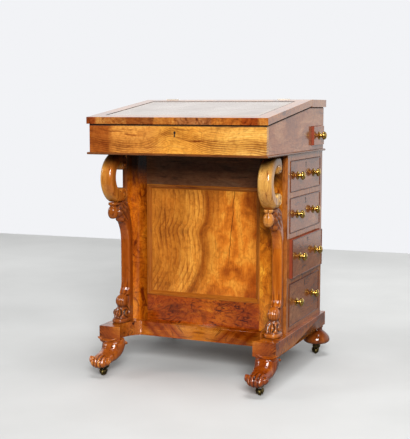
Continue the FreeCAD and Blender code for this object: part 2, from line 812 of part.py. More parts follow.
# Carved supports: an open scroll under the writing box, on a column that leans back to the pedestal
SCROLL_SHARES = [
    (0.112, 1.0),
    (0.612, 1.0),
    ("via", 1.0, 0.555),
    (0.667, 0.0),
    (0.463, 0.0),
    ("via", 0.316, 0.145),
    (0.463, 0.29),
    ("via", 0.535, 0.271),
    (0.589, 0.218),
    ("via", 0.789, 0.514),
    (0.378, 0.816),
    ("via", 0.245, 0.684),
    (0.112, 0.816),
]
scroll_foot = place("scroll_foot", pedestal_top - D.scroll_height)
scroll_half = D.scroll_width / 2
scroll_steps = by_shares(SCROLL_SHARES, pedestal_front, -D.scroll_reach, scroll_foot, D.scroll_height)
scroll_x = (support_side - scroll_half, support_side + scroll_half)
right_scroll = shaped("right_scroll", "YZ_Plane", scroll_steps, *scroll_x)
node("support_scrolls", group("scroll_pair", [mirrored("left_scroll", right_scroll), right_scroll]))

COLUMN_SIDE_SHARES = [
    (0.0, 0.0),
    (0.765, 0.0),
    (0.765, 0.03),
    ("via", 0.68, 0.095),
    (0.42, 0.128),
    ("via", 0.59, 0.167),
    (0.38, 0.206),
    ("via", 0.29, 0.24),
    (0.26, 0.296),
    (0.26, 0.70),
    ("via", 0.33, 0.80),
    (0.55, 0.862),
    (0.80, 0.873),
    ("via", 1.0, 0.923),
    (0.94, 0.963),
    (0.965, 0.966),
    (0.965, 1.0),
    (0.435, 1.0),
    (0.40, 0.93),
    ("via", 0.22, 0.84),
    (0.0, 0.71),
]
COLUMN_FACE_SHARES = [
    (1.0, 0.0),
    (1.0, 0.03),
    ("via", 0.88, 0.09),
    (0.62, 0.128),
    ("via", 0.80, 0.167),
    (0.62, 0.206),
    (0.73, 0.25),
    (0.73, 0.80),
    (0.64, 0.862),
    (0.74, 0.873),
    ("via", 0.80, 0.923),
    (0.74, 0.963),
    (0.74, 1.0),
]


def mirrored_shares(shares):
    """The right-hand half of an outline, followed by its left-hand half from the top down."""
    back = [(*share[:-2], -share[-2], share[-1]) for share in reversed(shares)]
    return shares + back


def carved(label, side_steps, side_x, face_steps, face_y):
    """A carved piece sawn to one outline from the side and to another from the front."""
    both = doc.addObject("Part::Common", label)
    both.Base = shaped(label + "_side", "YZ_Plane", side_steps, *side_x)
    both.Tool = shaped(label + "_face", "XZ_Plane", face_steps, *face_y)
    return both


column_height = scroll_foot - plinth_top
column_side = by_shares(COLUMN_SIDE_SHARES, pedestal_front, -D.column_reach, plinth_top, column_height)
column_shares = mirrored_shares(COLUMN_FACE_SHARES)
column_face = by_shares(column_shares, support_side, D.column_half_width, plinth_top, column_height)
column_half = D.column_half_width + D.overrun
column_x = (support_side - column_half, support_side + column_half)
column_y = (pedestal_front - D.column_reach - D.overrun, pedestal_front + D.overrun)
right_column = carved("right_column", column_side, column_x, column_face, column_y)
node("support_columns", group("column_pair", [mirrored("left_column", right_column), right_column]))

# Plinth: four rails, and two forward blocks with coved inner sides
block_inner = plinth_side - D.block_width
plinth_z = (plinth_bottom, plinth_top)
rail_back = pedestal_front + D.pedestal_wall
COVE_MIDDLE_SHARE = 0.7071
cove_end = block_inner - D.cove_radius * (1 - COVE_MIDDLE_SHARE)
cove_steps = [
    (plinth_side, block_front),
    (plinth_side, rail_back),
    (cove_end, rail_back),
    (cove_end, plinth_front),
    ("via", block_inner + D.cove_radius * (1 - COVE_MIDDLE_SHARE), (plinth_front + block_front) / 2),
    (block_inner, block_front),
]
right_block = shaped("right_block", "XY_Plane", cove_steps, *plinth_z)
wall = D.pedestal_wall
rail_inner = plinth_side - D.plinth_step_side - wall
node(
    "plinth",
    group(
        "plinth_boards",
        [
            mirrored("left_block", right_block),
            right_block,
            board("plinth_front_rail", (-cove_end, cove_end), (plinth_front, rail_back), plinth_z),
            board("plinth_left_rail", (-plinth_side, -rail_inner), (rail_back, plinth_back), plinth_z),
            board("plinth_right_rail", (rail_inner, plinth_side), (rail_back, plinth_back), plinth_z),
            board("plinth_back_rail", (-rail_inner, rail_inner), (inside_back, plinth_back), plinth_z),
        ],
    ),
)

# Carved front feet under the blocks, turned bun feet at the back
FOOT_FRONT_SHARES = [
    (0.0, 0.0),
    (0.43, 0.0),
    ("via", 0.50, 0.14),
    (0.52, 0.31),
    ("via", 0.61, 0.42),
    (0.76, 0.44),
    ("via", 1.0, 0.70),
    (0.86, 1.0),
    ("via", 0.775, 0.92),
]
FOOT_PAD_SHARES = [0.76, 0.41]
FOOT_HEEL_SHARES = [
    ("via", 0.20, 0.60),
    (0.0, 0.25),
]
FOOT_FACE_SHARES = [
    (0.886, 0.0),
    ("via", 0.94, 0.17),
    (0.80, 0.34),
    ("via", 0.77, 0.46),
    (0.94, 0.58),
    ("via", 1.0, 0.75),
    (0.80, 1.0),
]
foot_back = plinth_front - D.foot_back_offset
foot_sizes = (foot_back, -D.foot_reach, plinth_bottom, -D.foot_drop)
foot_side = by_shares(FOOT_FRONT_SHARES, *foot_sizes)
foot_side += [(foot_back - D.foot_reach * share, D.castor_height) for share in FOOT_PAD_SHARES]
foot_side += by_shares(FOOT_HEEL_SHARES, *foot_sizes)
foot_shares = mirrored_shares(FOOT_FACE_SHARES)
foot_face = by_shares(foot_shares, support_side, D.foot_half_width, plinth_bottom, -D.foot_drop)
foot_half = D.foot_half_width + D.overrun
foot_x = (support_side - foot_half, support_side + foot_half)
foot_y = (foot_back - D.foot_reach - D.overrun, foot_back + D.overrun)
right_foot = carved("right_foot", foot_side, foot_x, foot_face, foot_y)
node("front_feet", group("front_foot_pair", [mirrored("left_foot", right_foot), right_foot]))

BUN_SHARES = [
    (0.0, 0.0),
    (0.66, 0.0),
    ("via", 0.91, 0.06),
    (1.0, 0.20),
    ("via", 0.86, 0.46),
    (0.50, 0.68),
    ("via", 0.43, 0.78),
    (0.48, 1.0),
    (0.0, 1.0),
]


def lathe_steps(shares, radius, up, height):
    """Half of a turned profile, with its points on the axis kept there."""
    return [
        (*share[:-2], radius * share[-2] if share[-2] else 0, up + height * share[-1]) for share in shares
    ]


bun_steps = lathe_steps(BUN_SHARES, D.bun_radius, D.castor_height, D.foot_height)
bun_side = plinth_side - D.bun_side_inset
bun_y = plinth_back - D.bun_back_inset
buns = []
for side, x in (("left", -bun_side), ("right", bun_side)):
    buns.append(moved(turned(f"{side}_bun", "XZ_Plane", "V_Axis", bun_steps), x, bun_y, middle))
node("rear_feet", group("bun_pair", buns))

# Castors: socket, swivelling fork with its axle, wheel
castor_front = block_front - D.castor_reach
CASTOR_TURNS = {
    "front_left": (-support_side, castor_front, -105),
    "front_right": (support_side, castor_front, -70),
    "rear_left": (-bun_side, bun_y, 60),
    "rear_right": (bun_side, bun_y, 130),
}
socket_bottom = D.castor_height - D.socket_thickness
crown_top = socket_bottom - D.swivel_gap
crown_bottom = crown_top - D.crown_thickness
wheel_half = D.wheel_width / 2
cheek_inner = wheel_half + D.cheek_gap
cheek_outer = cheek_inner + D.cheek_thickness
axle_z = D.wheel_radius


def castor_socket(label):
    disc = rod(label + "_disc", "Z", D.socket_radius, D.socket_thickness, (middle, middle, socket_bottom))
    bore = D.swivel_radius + D.running_clearance
    depth = D.socket_thickness + D.overrun
    hole = rod(label + "_bore", "Z", bore, depth, (middle, middle, socket_bottom - D.overrun))
    return cut(label, disc, hole)


def castor_fork(label):
    """Stem and crown on the swivel axis, cheeks that trail behind it, and the axle between them."""
    shapes = [
        rod(label + "_stem", "Z", D.swivel_radius, D.socket_thickness, (middle, middle, crown_top)),
        rod(label + "_crown", "Z", D.crown_radius, D.crown_thickness, (middle, middle, crown_bottom)),
        rod(label + "_axle", "Y", D.axle_radius, cheek_outer * 2, (D.castor_trail, -cheek_outer, axle_z)),
    ]
    cheek_x = (D.castor_trail - D.cheek_width / 2, D.castor_trail + D.cheek_width / 2)
    cheek_z = (axle_z - D.axle_radius * 2, crown_top)
    for side, y in (("left", (-cheek_outer, -cheek_inner)), ("right", (cheek_inner, cheek_outer))):
        shapes.append(board(f"{label}_{side}_cheek", cheek_x, y, cheek_z))
    return fused(label, shapes)


def castor_wheel(label):
    """A wheel with a rounded tread, turned about its axle."""
    bore = D.axle_radius + D.running_clearance
    edge = D.wheel_radius - D.wheel_edge
    steps = [
        (-wheel_half, bore),
        (wheel_half, bore),
        (wheel_half, edge),
        ("via", 0, D.wheel_radius),
        (-wheel_half, edge),
    ]
    return turned(label, "XY_Plane", "H_Axis", steps)


sockets = []
for name, (x, y, turn) in CASTOR_TURNS.items():
    sockets.append(moved(castor_socket(f"{name}_socket"), x, y, middle))
    node(f"castor_fork_{name}", moved(castor_fork(f"{name}_fork"), x, y, middle, turn))
    trail = FreeCAD.Rotation(FreeCAD.Vector(0, 0, 1), turn).multVec(FreeCAD.Vector(1, 0, 0))
    wheel_x = x + D.castor_trail * round(trail.x, 6)
    wheel_y = y + D.castor_trail * round(trail.y, 6)
    wheel = castor_wheel(f"{name}_wheel")
    node(f"castor_wheel_{name}", moved(wheel, wheel_x, wheel_y, axle_z, turn + QUARTER_TURN))
node("castor_sockets", group("socket_set", sockets))

doc.recompute()

for item in doc.Objects:
    faults = [state for state in item.State if state in ("Invalid", "Error")]
    if faults:
        raise RuntimeError(f"{item.Label} failed: {faults}")
for label, piece in nodes.items():
    if piece.Shape.isNull() or not piece.Shape.isValid() or not piece.Shape.Solids:
        raise RuntimeError(f"{label} has no valid solid")

os.makedirs("parts", exist_ok=True)
for label, piece in nodes.items():
    piece.Shape.exportStep(f"parts/{label}.step")
print(len(nodes), "nodes,", sum(len(piece.Shape.Solids) for piece in nodes.values()), "solids")
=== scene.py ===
import json
import math

import bmesh
import bpy
from bmesh.types import BMEdge, BMFace, BMVert
from mathutils import Matrix, Vector

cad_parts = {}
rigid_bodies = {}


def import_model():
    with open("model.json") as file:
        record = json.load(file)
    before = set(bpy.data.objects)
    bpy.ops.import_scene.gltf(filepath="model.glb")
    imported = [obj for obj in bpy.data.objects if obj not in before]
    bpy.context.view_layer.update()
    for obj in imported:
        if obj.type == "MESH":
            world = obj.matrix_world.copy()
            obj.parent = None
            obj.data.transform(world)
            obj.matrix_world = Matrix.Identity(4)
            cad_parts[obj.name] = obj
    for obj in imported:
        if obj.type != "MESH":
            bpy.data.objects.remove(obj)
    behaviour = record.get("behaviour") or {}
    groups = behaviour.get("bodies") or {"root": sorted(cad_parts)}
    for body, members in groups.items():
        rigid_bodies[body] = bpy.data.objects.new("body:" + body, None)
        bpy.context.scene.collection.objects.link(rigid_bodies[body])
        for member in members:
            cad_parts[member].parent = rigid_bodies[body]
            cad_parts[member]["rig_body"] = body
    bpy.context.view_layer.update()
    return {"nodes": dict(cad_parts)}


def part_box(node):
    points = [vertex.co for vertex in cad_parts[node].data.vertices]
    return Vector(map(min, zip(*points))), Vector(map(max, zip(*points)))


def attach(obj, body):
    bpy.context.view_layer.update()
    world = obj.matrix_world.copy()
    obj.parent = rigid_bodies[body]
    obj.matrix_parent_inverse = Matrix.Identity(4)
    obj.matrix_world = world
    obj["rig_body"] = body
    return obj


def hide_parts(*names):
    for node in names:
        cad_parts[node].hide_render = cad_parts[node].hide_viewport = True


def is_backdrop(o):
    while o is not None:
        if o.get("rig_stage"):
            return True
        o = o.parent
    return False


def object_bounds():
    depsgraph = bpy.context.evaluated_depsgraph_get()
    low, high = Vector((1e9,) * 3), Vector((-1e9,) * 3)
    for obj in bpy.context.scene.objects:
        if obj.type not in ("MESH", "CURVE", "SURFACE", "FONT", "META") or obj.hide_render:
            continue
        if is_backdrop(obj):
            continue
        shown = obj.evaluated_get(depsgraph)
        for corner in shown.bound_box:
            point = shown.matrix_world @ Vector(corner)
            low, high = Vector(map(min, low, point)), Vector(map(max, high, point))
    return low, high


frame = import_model()
bpy.context.scene.view_settings.view_transform = "Standard"
MM = 0.001

# Plinth: four rails with two blocks that reach forward to carry the front feet.
# Pine faced with walnut veneer, mitred at the corners, its arrises just softened by polishing.


def linear(code):
    """An sRGB hex colour as linear red, green, blue and alpha."""
    channels = [int(code[i : i + 2], 16) / 255 for i in (1, 3, 5)]
    return *(c / 12.92 if c <= 0.04045 else ((c + 0.055) / 1.055) ** 2.4 for c in channels), 1.0


def add(tree, kind, inputs=(), stops=(), out=0, **settings):
    """One output of a new shader node; its inputs, in order or by name, are values or other outputs.

    A MapRange takes a value, the two ends of its range and the two ends that they become.
    """
    node = tree.nodes.new("ShaderNode" + kind)
    for name, value in settings.items():
        setattr(node, name, value)
    for key, value in inputs.items() if isinstance(inputs, dict) else enumerate(inputs):
        if isinstance(value, bpy.types.NodeSocket):
            tree.links.new(value, node.inputs[key])
        else:
            node.inputs[key].default_value = value
    for index, (position, colour) in enumerate(stops):
        elements = node.color_ramp.elements
        stop = elements[index] if index < len(elements) else elements.new(position)
        stop.position = position
        stop.color = linear(colour)
    return node.outputs[out]


def surface(name):
    """A new material with its node tree, its shader's inputs and the place of a point on the part."""
    material = bpy.data.materials.new(name)
    material.use_nodes = True
    tree = material.node_tree
    return material, tree, tree.nodes["Principled BSDF"].inputs, add(tree, "TexCoord", out="Object")


def stain(tree, share, colour, stops=()):
    """Lays a colour on a surface by a share from 0 to 1, or tints it with what a value picks from stops."""
    base = tree.nodes["Principled BSDF"].inputs["Base Color"]
    over = add(tree, "ValToRGB", [colour], stops) if stops else linear(colour)
    if base.is_linked:
        layers = [share, base.links[0].from_socket, over]
        over = add(tree, "MixRGB", layers, blend_type="MULTIPLY" if stops else "MIX")
    tree.links.new(over, base)


def walnut(
    name, tones, grain, streak, rings, lines=0.6, burr=0.0, cloud=0.6, sway=30, shift=(0, 0, 0), leaves=(),
    heart=(), tints=(), spread=(400, 50), patch=(170, 70), slant=0, matched=False, gloss=0.12,
):
    """French-polished walnut: streaky fibres, dark growth lines, cloudy patches, burr and fine pores.

    tones are pale, middle and dark. streak and rings are how far a fibre streak and a growth line run along
    and across the grain in mm. leaves are tints along the desk's width: separate veneers, and on the carvings
    painted shade on one piece of a left and right pair. heart is the path of the tree's heart along the
    veneer in mm, which the lines follow, and tints lie beside it from -200 to 200 mm. spread is how far the
    lines reach below and above the heart, and patch how far a cloudy patch runs along and across the grain,
    both in mm.
    slant is how many degrees the growth lines of a flame lean away from the grain on a front face. matched
    leaves are opened like a book, so that the left half mirrors the right.
    """
    material, tree, shader, place = surface(name)
    pale, middle, dark = tones
    along = "XYZ".index(grain)
    if matched:
        place = add(tree, "VectorMath", [place], operation="ABSOLUTE")
    own = add(tree, "Mapping", {"Vector": place, "Location": shift})

    def drawn_out(vector, long, wide, **noise):
        """Noise with spots that run so many millimetres along and across the grain."""
        scale = [1 / (wide * MM)] * 3
        scale[along] = 1 / (long * MM)
        sawn = add(tree, "Mapping", {"Vector": vector, "Scale": scale})
        return add(tree, "TexNoise", {"Vector": sawn, "Scale": 1.0, **noise})

    # the trunk's growth bends the grain over spans of 14 cm
    wander = add(tree, "TexNoise", {"Vector": own, "Scale": 1 / 0.14, "Detail": 1.5}, out="Color")
    centred = add(tree, "VectorMath", [wander, (0.5, 0.5, 0.5)], operation="SUBTRACT")
    pushed = add(tree, "VectorMath", [centred, (sway * MM,) * 3], operation="MULTIPLY")
    bent = add(tree, "VectorMath", [own, pushed], operation="ADD")

    fibre = drawn_out(bent, *streak, Detail=4.0, Roughness=0.6)
    stain(tree, 1.0, fibre, [(0.3, dark), (0.42, middle), (0.56, middle), (0.72, pale)])

    # a growth line is the edge of one year's wood; it shows only where the saw met it
    ring_long, ring_wide = rings
    if heart:
        laid = add(tree, "VectorMath", [place, pushed], operation="ADD")
        lain = add(tree, "SeparateXYZ", [laid]).node.outputs
        (first, level), (last, final) = heart[0], heart[-1]
        run = add(tree, "MapRange", [lain[along], first * MM, last * MM])
        path = add(tree, "FloatCurve", {"Value": run})
        course = path.node.mapping
        bends = course.curves[0].points
        bends[0].location, bends[1].location = (0, 0.5), (1, 0.5 + (final - level) * MM)
        for length, height in heart[1:-1]:
            bends.new((length - first) / (last - first), 0.5 + (height - level) * MM)
        course.update()
        across = lain[0 if along == 2 else 2]
        beside = add(tree, "Math", [across, path], operation="SUBTRACT")
        offset = add(tree, "Math", [beside, 0.5 - level * MM], operation="ADD")
        # the rings waver by up to 15.6 mm
        ripple = drawn_out(own, 200, 60, Detail=2.0)
        swell = add(tree, "Math", [ripple, 15.6 / ring_wide], operation="MULTIPLY")
        counted = [offset, 1 / (ring_wide * MM), swell]
        years = add(tree, "Math", counted, operation="MULTIPLY_ADD")
        # beyond the heart the fibres turn towards the face, so that fewer streaks show
        stain(tree, add(tree, "MapRange", [offset, 0.015, 0.07, 0.0, 0.65]), middle)
        stain(tree, 1.0, add(tree, "MapRange", [offset, -0.2, 0.2]), tints)
    else:
        leaned = add(tree, "Mapping", {"Vector": bent, "Rotation": (0, math.radians(slant), 0)})
        # one swell of the noise is eight lines wide and counts nine years
        height = drawn_out(leaned, ring_long, ring_wide * 8, Detail=1.5, Roughness=0.35)
        years = add(tree, "Math", [height, 9.0], operation="MULTIPLY")
    year = add(tree, "Math", [years], operation="FRACT")
    year_stops = [(0.0, "#000000"), (0.4, "#303030"), (0.75, "#a8a8a8"), (0.93, "#ffffff"), (1.0, "#000000")]
    edge = add(tree, "ValToRGB", [year], stops=year_stops)
    met = add(tree, "TexNoise", {"Vector": own, "Scale": 1 / 0.08, "Detail": 2.0})
    shown = add(tree, "MapRange", [met, 0.43, 0.62, 0.3 * lines if heart else 0.0, lines])
    drawn = add(tree, "Math", [edge, shown], operation="MULTIPLY")
    if heart:
        below, above = spread
        for end in (-below * MM, above * MM):
            fading = add(tree, "MapRange", [offset, 0.3 * end, end, 1.0, 0.2])
            drawn = add(tree, "Math", [drawn, fading], operation="MULTIPLY")
    stain(tree, drawn, dark)

    drift = drawn_out(bent, *patch, Detail=3.0, Distortion=0.6)
    cloud_stops = [(0.33, "#9c5a34"), (0.5, "#e6c19c"), (0.62, "#ffffff")]
    if heart:
        cloud = add(tree, "MapRange", [offset, 0.0, 0.07, 0.4 * cloud, cloud])
    stain(tree, cloud, drift, cloud_stops)

    if burr:
        swirl = {"Vector": bent, "Scale": 1 / 0.018, "Detail": 5.0, "Distortion": 1.6}
        swirl_stops = [(0.36, "#7b3f1a"), (0.47, "#deb188"), (0.58, "#ffffff")]
        stain(tree, burr, add(tree, "TexNoise", swirl), swirl_stops)

    if leaves:
        lain = add(tree, "SeparateXYZ", [place]).node.outputs
        cut = [lain["Z"], -math.tan(math.radians(slant)), lain["X"]]
        across = add(tree, "Math", cut, operation="MULTIPLY_ADD")
        share = add(tree, "MapRange", [across, -0.29, 0.29])
        stain(tree, 1.0, share, leaves)

    # pores are drawn 1.4 mm wide, coarser than the real 0.3 mm, so that they show at all
    pore = drawn_out(bent, 30, 1.4, Detail=2.0)
    stain(tree, 0.4, pore, [(0.33, "#9a6c4a"), (0.5, "#ffffff")])

    worn = add(tree, "MapRange", [drift, 0.3, 0.7, gloss, gloss + 0.08])
    tree.links.new(worn, shader["Roughness"])
    relief = {"Height": pore, "Strength": 0.06, "Distance": 0.0003}
    tree.links.new(add(tree, "Bump", relief), shader["Normal"])
    shader["IOR"].default_value = 1.5
    return material


def cad_copy(node):
    """A copy of a CAD node's mesh with its triangles joined into whole faces."""
    bm = bmesh.new()
    bm.from_mesh(frame["nodes"][node].data)
    bmesh.ops.remove_doubles(bm, verts=bm.verts, dist=0.00001)
    bmesh.ops.dissolve_limit(bm, angle_limit=math.radians(0.5), verts=bm.verts, edges=bm.edges)
    return bm


def rounded(bm, edges, radius, segments):
    """Rounds some edges, or planes them off with one segment, by so many millimetres."""
    bmesh.ops.bevel(
        bm, geom=edges, offset=radius * MM, affect="EDGES", segments=segments, profile=0.5, material=-1
    )


def soften(bm, radius, shortest=30):
    """Rounds the long outer arrises of a board, as sanding and polishing do."""
    arrises = [
        edge
        for edge in bm.edges
        if edge.is_manifold
        and edge.is_convex
        and edge.calc_face_angle() > math.radians(30)
        and edge.calc_length() > shortest * MM
    ]
    rounded(bm, arrises, radius, 3)
    return bm


def piece(name, bm, materials, node, sharp=32):
    """A finished piece of one or more materials in place of its CAD node, on the body that it rides on."""
    mesh = bpy.data.meshes.new(name)
    bm.to_mesh(mesh)
    bm.free()
    for material in materials if isinstance(materials, list) else [materials]:
        mesh.materials.append(material)
    mesh.shade_smooth()
    mesh.set_sharp_from_angle(angle=math.radians(sharp))
    obj = bpy.data.objects.new(name, mesh)
    bpy.context.scene.collection.objects.link(obj)
    flat = obj.modifiers.new("flat faces", "WEIGHTED_NORMAL")
    flat.keep_sharp = True
    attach(obj, frame["nodes"][node]["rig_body"])
    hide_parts(node)


def plain(node, ending, radius, material, shortest=30, sharp=32):
    """A piece with the shape of its CAD node and softened arrises."""
    piece(f"{node}_{ending}", soften(cad_copy(node), radius, shortest), material, node, sharp)


PLINTH_LEAVES = [
    (0.0, "#fff4dc"), (0.38, "#fff4dc"), (0.43, "#c48c5c"), (0.47, "#e0b48c"), (0.5, "#b87c4c"),
    (0.54, "#dcae84"), (0.57, "#b4784a"), (0.61, "#f4dcc0"), (0.7, "#c9a076"), (0.77, "#c9a076"),
    (0.82, "#f0dcc0"),
]
plinth_walnut = walnut(
    "flame walnut veneer on the plinth", ("#e8ac4c", "#c58330", "#4a1c07"), "X", (110, 14), (250, 2.5),
    lines=1.2, burr=0.25, sway=40, shift=(0.31, 0.0, 0.12), leaves=PLINTH_LEAVES, slant=45, matched=True,
)
plain("plinth", "veneered", 1.2, plinth_walnut)

# Front feet: carved cabriole feet that curl forward under the plinth blocks.
# Solid walnut, shaped with gouges and scraped smooth, then polished; the hollows hold dark wax and painted
# shade.
SUPPORT_X = 250


def skin(bm, voxel, rounds):
    """One smooth skin over overlapping forms, as gouge and scraper leave carved wood."""
    mesh = bpy.data.meshes.new("rough")
    bm.to_mesh(mesh)
    bm.free()
    rough = bpy.data.objects.new("rough", mesh)
    bpy.context.scene.collection.objects.link(rough)
    shell = rough.modifiers.new("shell", "REMESH")
    shell.mode = "VOXEL"
    shell.voxel_size = voxel * MM
    scraped = rough.modifiers.new("scraped", "SMOOTH")
    scraped.factor = 0.5
    scraped.iterations = rounds
    bpy.context.view_layer.update()
    finished = rough.evaluated_get(bpy.context.evaluated_depsgraph_get())
    smooth = bpy.data.meshes.new_from_object(finished)
    bpy.data.objects.remove(rough)
    result = bmesh.new()
    result.from_mesh(smooth)
    bpy.data.meshes.remove(smooth)
    return result


def lump(bm, centre, radii, tilt=0):
    """An egg-shaped swelling, given in millimetres and tilted about the desk's width."""
    place = Matrix.Translation(Vector(centre) * MM) @ Matrix.Rotation(math.radians(tilt), 4, "X")
    bmesh.ops.create_icosphere(bm, subdivisions=3, radius=MM, matrix=place @ Matrix.Diagonal((*radii, 1)))


def only(kind, geometry):
    """The vertices, the edges or the faces among some geometry."""
    return [item for item in geometry if isinstance(item, kind)]


def swept(stations, power=2.0):
    """A form carved along a bent line on the right; a station is Y, Z, half width, half depth and lean."""
    bm = bmesh.new()
    verts = bmesh.ops.create_circle(bm, cap_ends=True, segments=40, radius=1)["verts"]
    for vert in verts:
        vert.co /= (abs(vert.co.x) ** power + abs(vert.co.y) ** power) ** (1 / power)
    edges = [edge for edge in bm.edges if edge.is_boundary]
    before = Matrix.Identity(4)
    for index, (y, z, half_width, half_depth, lean) in enumerate(stations):
        if index:
            grown = bmesh.ops.extrude_edge_only(bm, edges=edges)["geom"]
            verts, edges = only(BMVert, grown), only(BMEdge, grown)
        placed = Matrix.Translation((SUPPORT_X * MM, y * MM, z * MM))
        placed @= Matrix.Rotation(math.radians(-lean), 4, "X")
        placed @= Matrix.Diagonal((half_width * MM, half_depth * MM, MM, 1))
        bmesh.ops.transform(bm, matrix=placed @ before.inverted(), verts=verts)
        before = placed
    bmesh.ops.contextual_create(bm, geom=edges)
    bmesh.ops.recalc_face_normals(bm, faces=bm.faces)
    return bm


def volute(bm, centre, reach, bead, start, turn, turns=1.6, steps=36, narrowing=0.16, sinking=0.985):
    """A rounded fillet that winds inwards on a side face, from start degrees, towards its eye."""
    hub = Vector(centre) * MM
    first = Matrix.Translation(hub) @ Matrix.Rotation(math.radians(start), 4, "X")
    upright = Matrix.Translation((0, 0, reach * MM)) @ Matrix.Rotation(math.radians(-90), 4, "X")
    bmesh.ops.create_circle(bm, cap_ends=True, segments=10, radius=bead * MM, matrix=first @ upright)
    edges = [edge for edge in bm.edges if edge.is_boundary]
    angle = math.radians(360 * turns / steps) * turn
    shrink = narrowing ** (1 / steps)
    for _ in range(steps):
        grown = bmesh.ops.extrude_edge_only(bm, edges=edges)["geom"]
        verts, edges = only(BMVert, grown), only(BMEdge, grown)
        bmesh.ops.rotate(bm, cent=hub, matrix=Matrix.Rotation(angle, 3, "X"), verts=verts)
        bmesh.ops.scale(bm, vec=(sinking, shrink, shrink), space=Matrix.Translation(-hub), verts=verts)
    bmesh.ops.contextual_create(bm, geom=edges)


def whole(bm):
    """All the geometry of a mesh."""
    return bm.verts[:] + bm.edges[:] + bm.faces[:]


def mirrored(bm):
    """Adds the left-hand twin of a right-hand form."""
    copied = bmesh.ops.duplicate(bm, geom=whole(bm))["geom"]
    bmesh.ops.scale(bm, vec=(-1, 1, 1), verts=only(BMVert, copied))
    bmesh.ops.reverse_faces(bm, faces=only(BMFace, copied))
    return bm


def held(*values):
    """The least of some values, held between 0 and 1."""
    return max(0.0, min(1.0, *values))


def carved(name, tones, shift=(0, 0, 0), gloss=0.16, leaves=()):
    """Carved walnut: straight grain, with dark wax and painted shade in the hollows, so that the edges stand
    pale.
    """
    look = {"cloud": 0.5, "sway": 14, "shift": shift, "leaves": leaves, "gloss": gloss}
    material = walnut(name, tones, "Z", (160, 12), (200, 6), 0.35, **look)
    tree = material.node_tree
    bend = add(tree, "NewGeometry", out="Pointiness")
    # the hollows of the carving are darkened: dark wax and painted shade
    wax_and_shade_stops = [
        (0.42, "#200e05"), (0.47, "#80502c"), (0.495, "#d8b490"), (0.515, "#f6e4cc"), (0.56, "#ffffff"),
    ]
    stain(tree, 0.85, bend, wax_and_shade_stops)
    # the mesh carries how much more each place is darkened: wax and painted shade in the cuts of the gouge,
    # painted shade on the scrolls' inner faces
    stain(tree, add(tree, "Attribute", out="Fac", attribute_name="wax_and_shade"), "#1c0c05")
    return material


FOOT_STATIONS = [
    (-183, 99, 30, 26, 0), (-184, 94, 32, 31, 2), (-186, 87, 34, 35, 5), (-189, 78, 34, 35.5, 11),
    (-195, 68, 33, 32.5, 22), (-206, 60, 31.5, 27.5, 38), (-222, 55.5, 30.5, 22, 58), (-240, 53, 29, 19, 74),
    (-254, 51.5, 28, 18.5, 82), (-267, 49.5, 26.5, 19, 88), (-277, 48.5, 26, 19, 92),
    (-286, 48, 24.5, 16.5, 94), (-292, 47.5, 21, 11, 94), (-295.5, 47.5, 15, 5, 94),
]
foot = swept(FOOT_STATIONS, 2.2)
lump(foot, (SUPPORT_X, -157, 82), (33, 9, 9))
lump(foot, (SUPPORT_X + 4, -207, 97), (34, 7, 9))
for side in (-1, 1):
    lump(foot, (SUPPORT_X + side * 26, -271, 51), (8, 12, 12))
    lump(foot, (SUPPORT_X + side * 33, -271, 51), (3, 5, 5))
    volute(foot, (SUPPORT_X + side * 31, -271, 51), 11, 2.4, 0, 1)
    for apart, back in ((5.8, -285), (17, -282)):
        lump(foot, (SUPPORT_X + side * apart, back, 53), (6.4, 9, 11))
# the lip hangs in a shallow curve across the foot of the block and ends in a nib at the outer corner
for step in range(-12, 13):
    lump(foot, (SUPPORT_X + 9 + step * 2.5, -211.5, 97.6 + 0.06 * step * step), (3.2, 4, 3.1))
foot = skin(foot, 1.3, 4)
wax_and_shade = foot.verts.layers.float.new("wax_and_shade")
for vert in foot.verts:
    x, y, z = vert.co / MM
    apart = abs(x - SUPPORT_X)
    toe = held((-258 - y) / 8) * (apart < 24)
    # the gouge parts the toes in the middle and 11.4 mm beside it
    dip = toe * held(1 - (min(apart, abs(apart - 11.4)) / 3.6) ** 2)
    vert.co -= Vector((0, y + 268, z - 49)).normalized() * 1.8 * dip * MM
    # dark wax and painted shade lie in the cuts between the toes
    vert[wax_and_shade] = 0.35 * dip
# painted shade: the right foot is tinted darker than the left one
RIGHT_FOOT_SHADE = [(0.3, "#ffffff"), (0.7, "#c0a072")]
FOOT_TONES = ("#eaac54", "#bf7732", "#5a2e12")
foot_walnut = carved("carved walnut, feet", FOOT_TONES, (0.2, 0.1, 0.0), 0.06, RIGHT_FOOT_SHADE)
piece("front_feet_carved", mirrored(foot), foot_walnut, "front_feet", sharp=80)

# Rear feet: squat turned bun feet under the back corners of the plinth.
# Walnut turned on the lathe, with a neck pegged into the plinth.


def turned(profile, centre, axis=(0, 0, 1), steps=48):
    """A lathe-turned form from pairs of radius and height in millimetres, standing along its axis."""
    bm = bmesh.new()
    verts = [bm.verts.new((radius * MM, 0, height * MM)) for radius, height in profile]
    edges = [bm.edges.new(pair) for pair in zip(verts, verts[1:])]
    bmesh.ops.spin(
        bm, geom=verts + edges, cent=(0, 0, 0), axis=(0, 0, 1), angle=math.tau, steps=steps, use_merge=True
    )
    bmesh.ops.remove_doubles(bm, verts=bm.verts, dist=0.000005)
    bmesh.ops.recalc_face_normals(bm, faces=bm.faces)
    aim = Vector((0, 0, 1)).rotation_difference(Vector(axis)).to_matrix().to_4x4()
    bmesh.ops.transform(bm, matrix=Matrix.Translation(centre) @ aim, verts=bm.verts)
    return bm


def joined(bm, *others):
    """One mesh out of several."""
    for other in others:
        mesh = bpy.data.meshes.new("joined")
        other.to_mesh(mesh)
        other.free()
        bm.from_mesh(mesh)
        bpy.data.meshes.remove(mesh)
    return bm


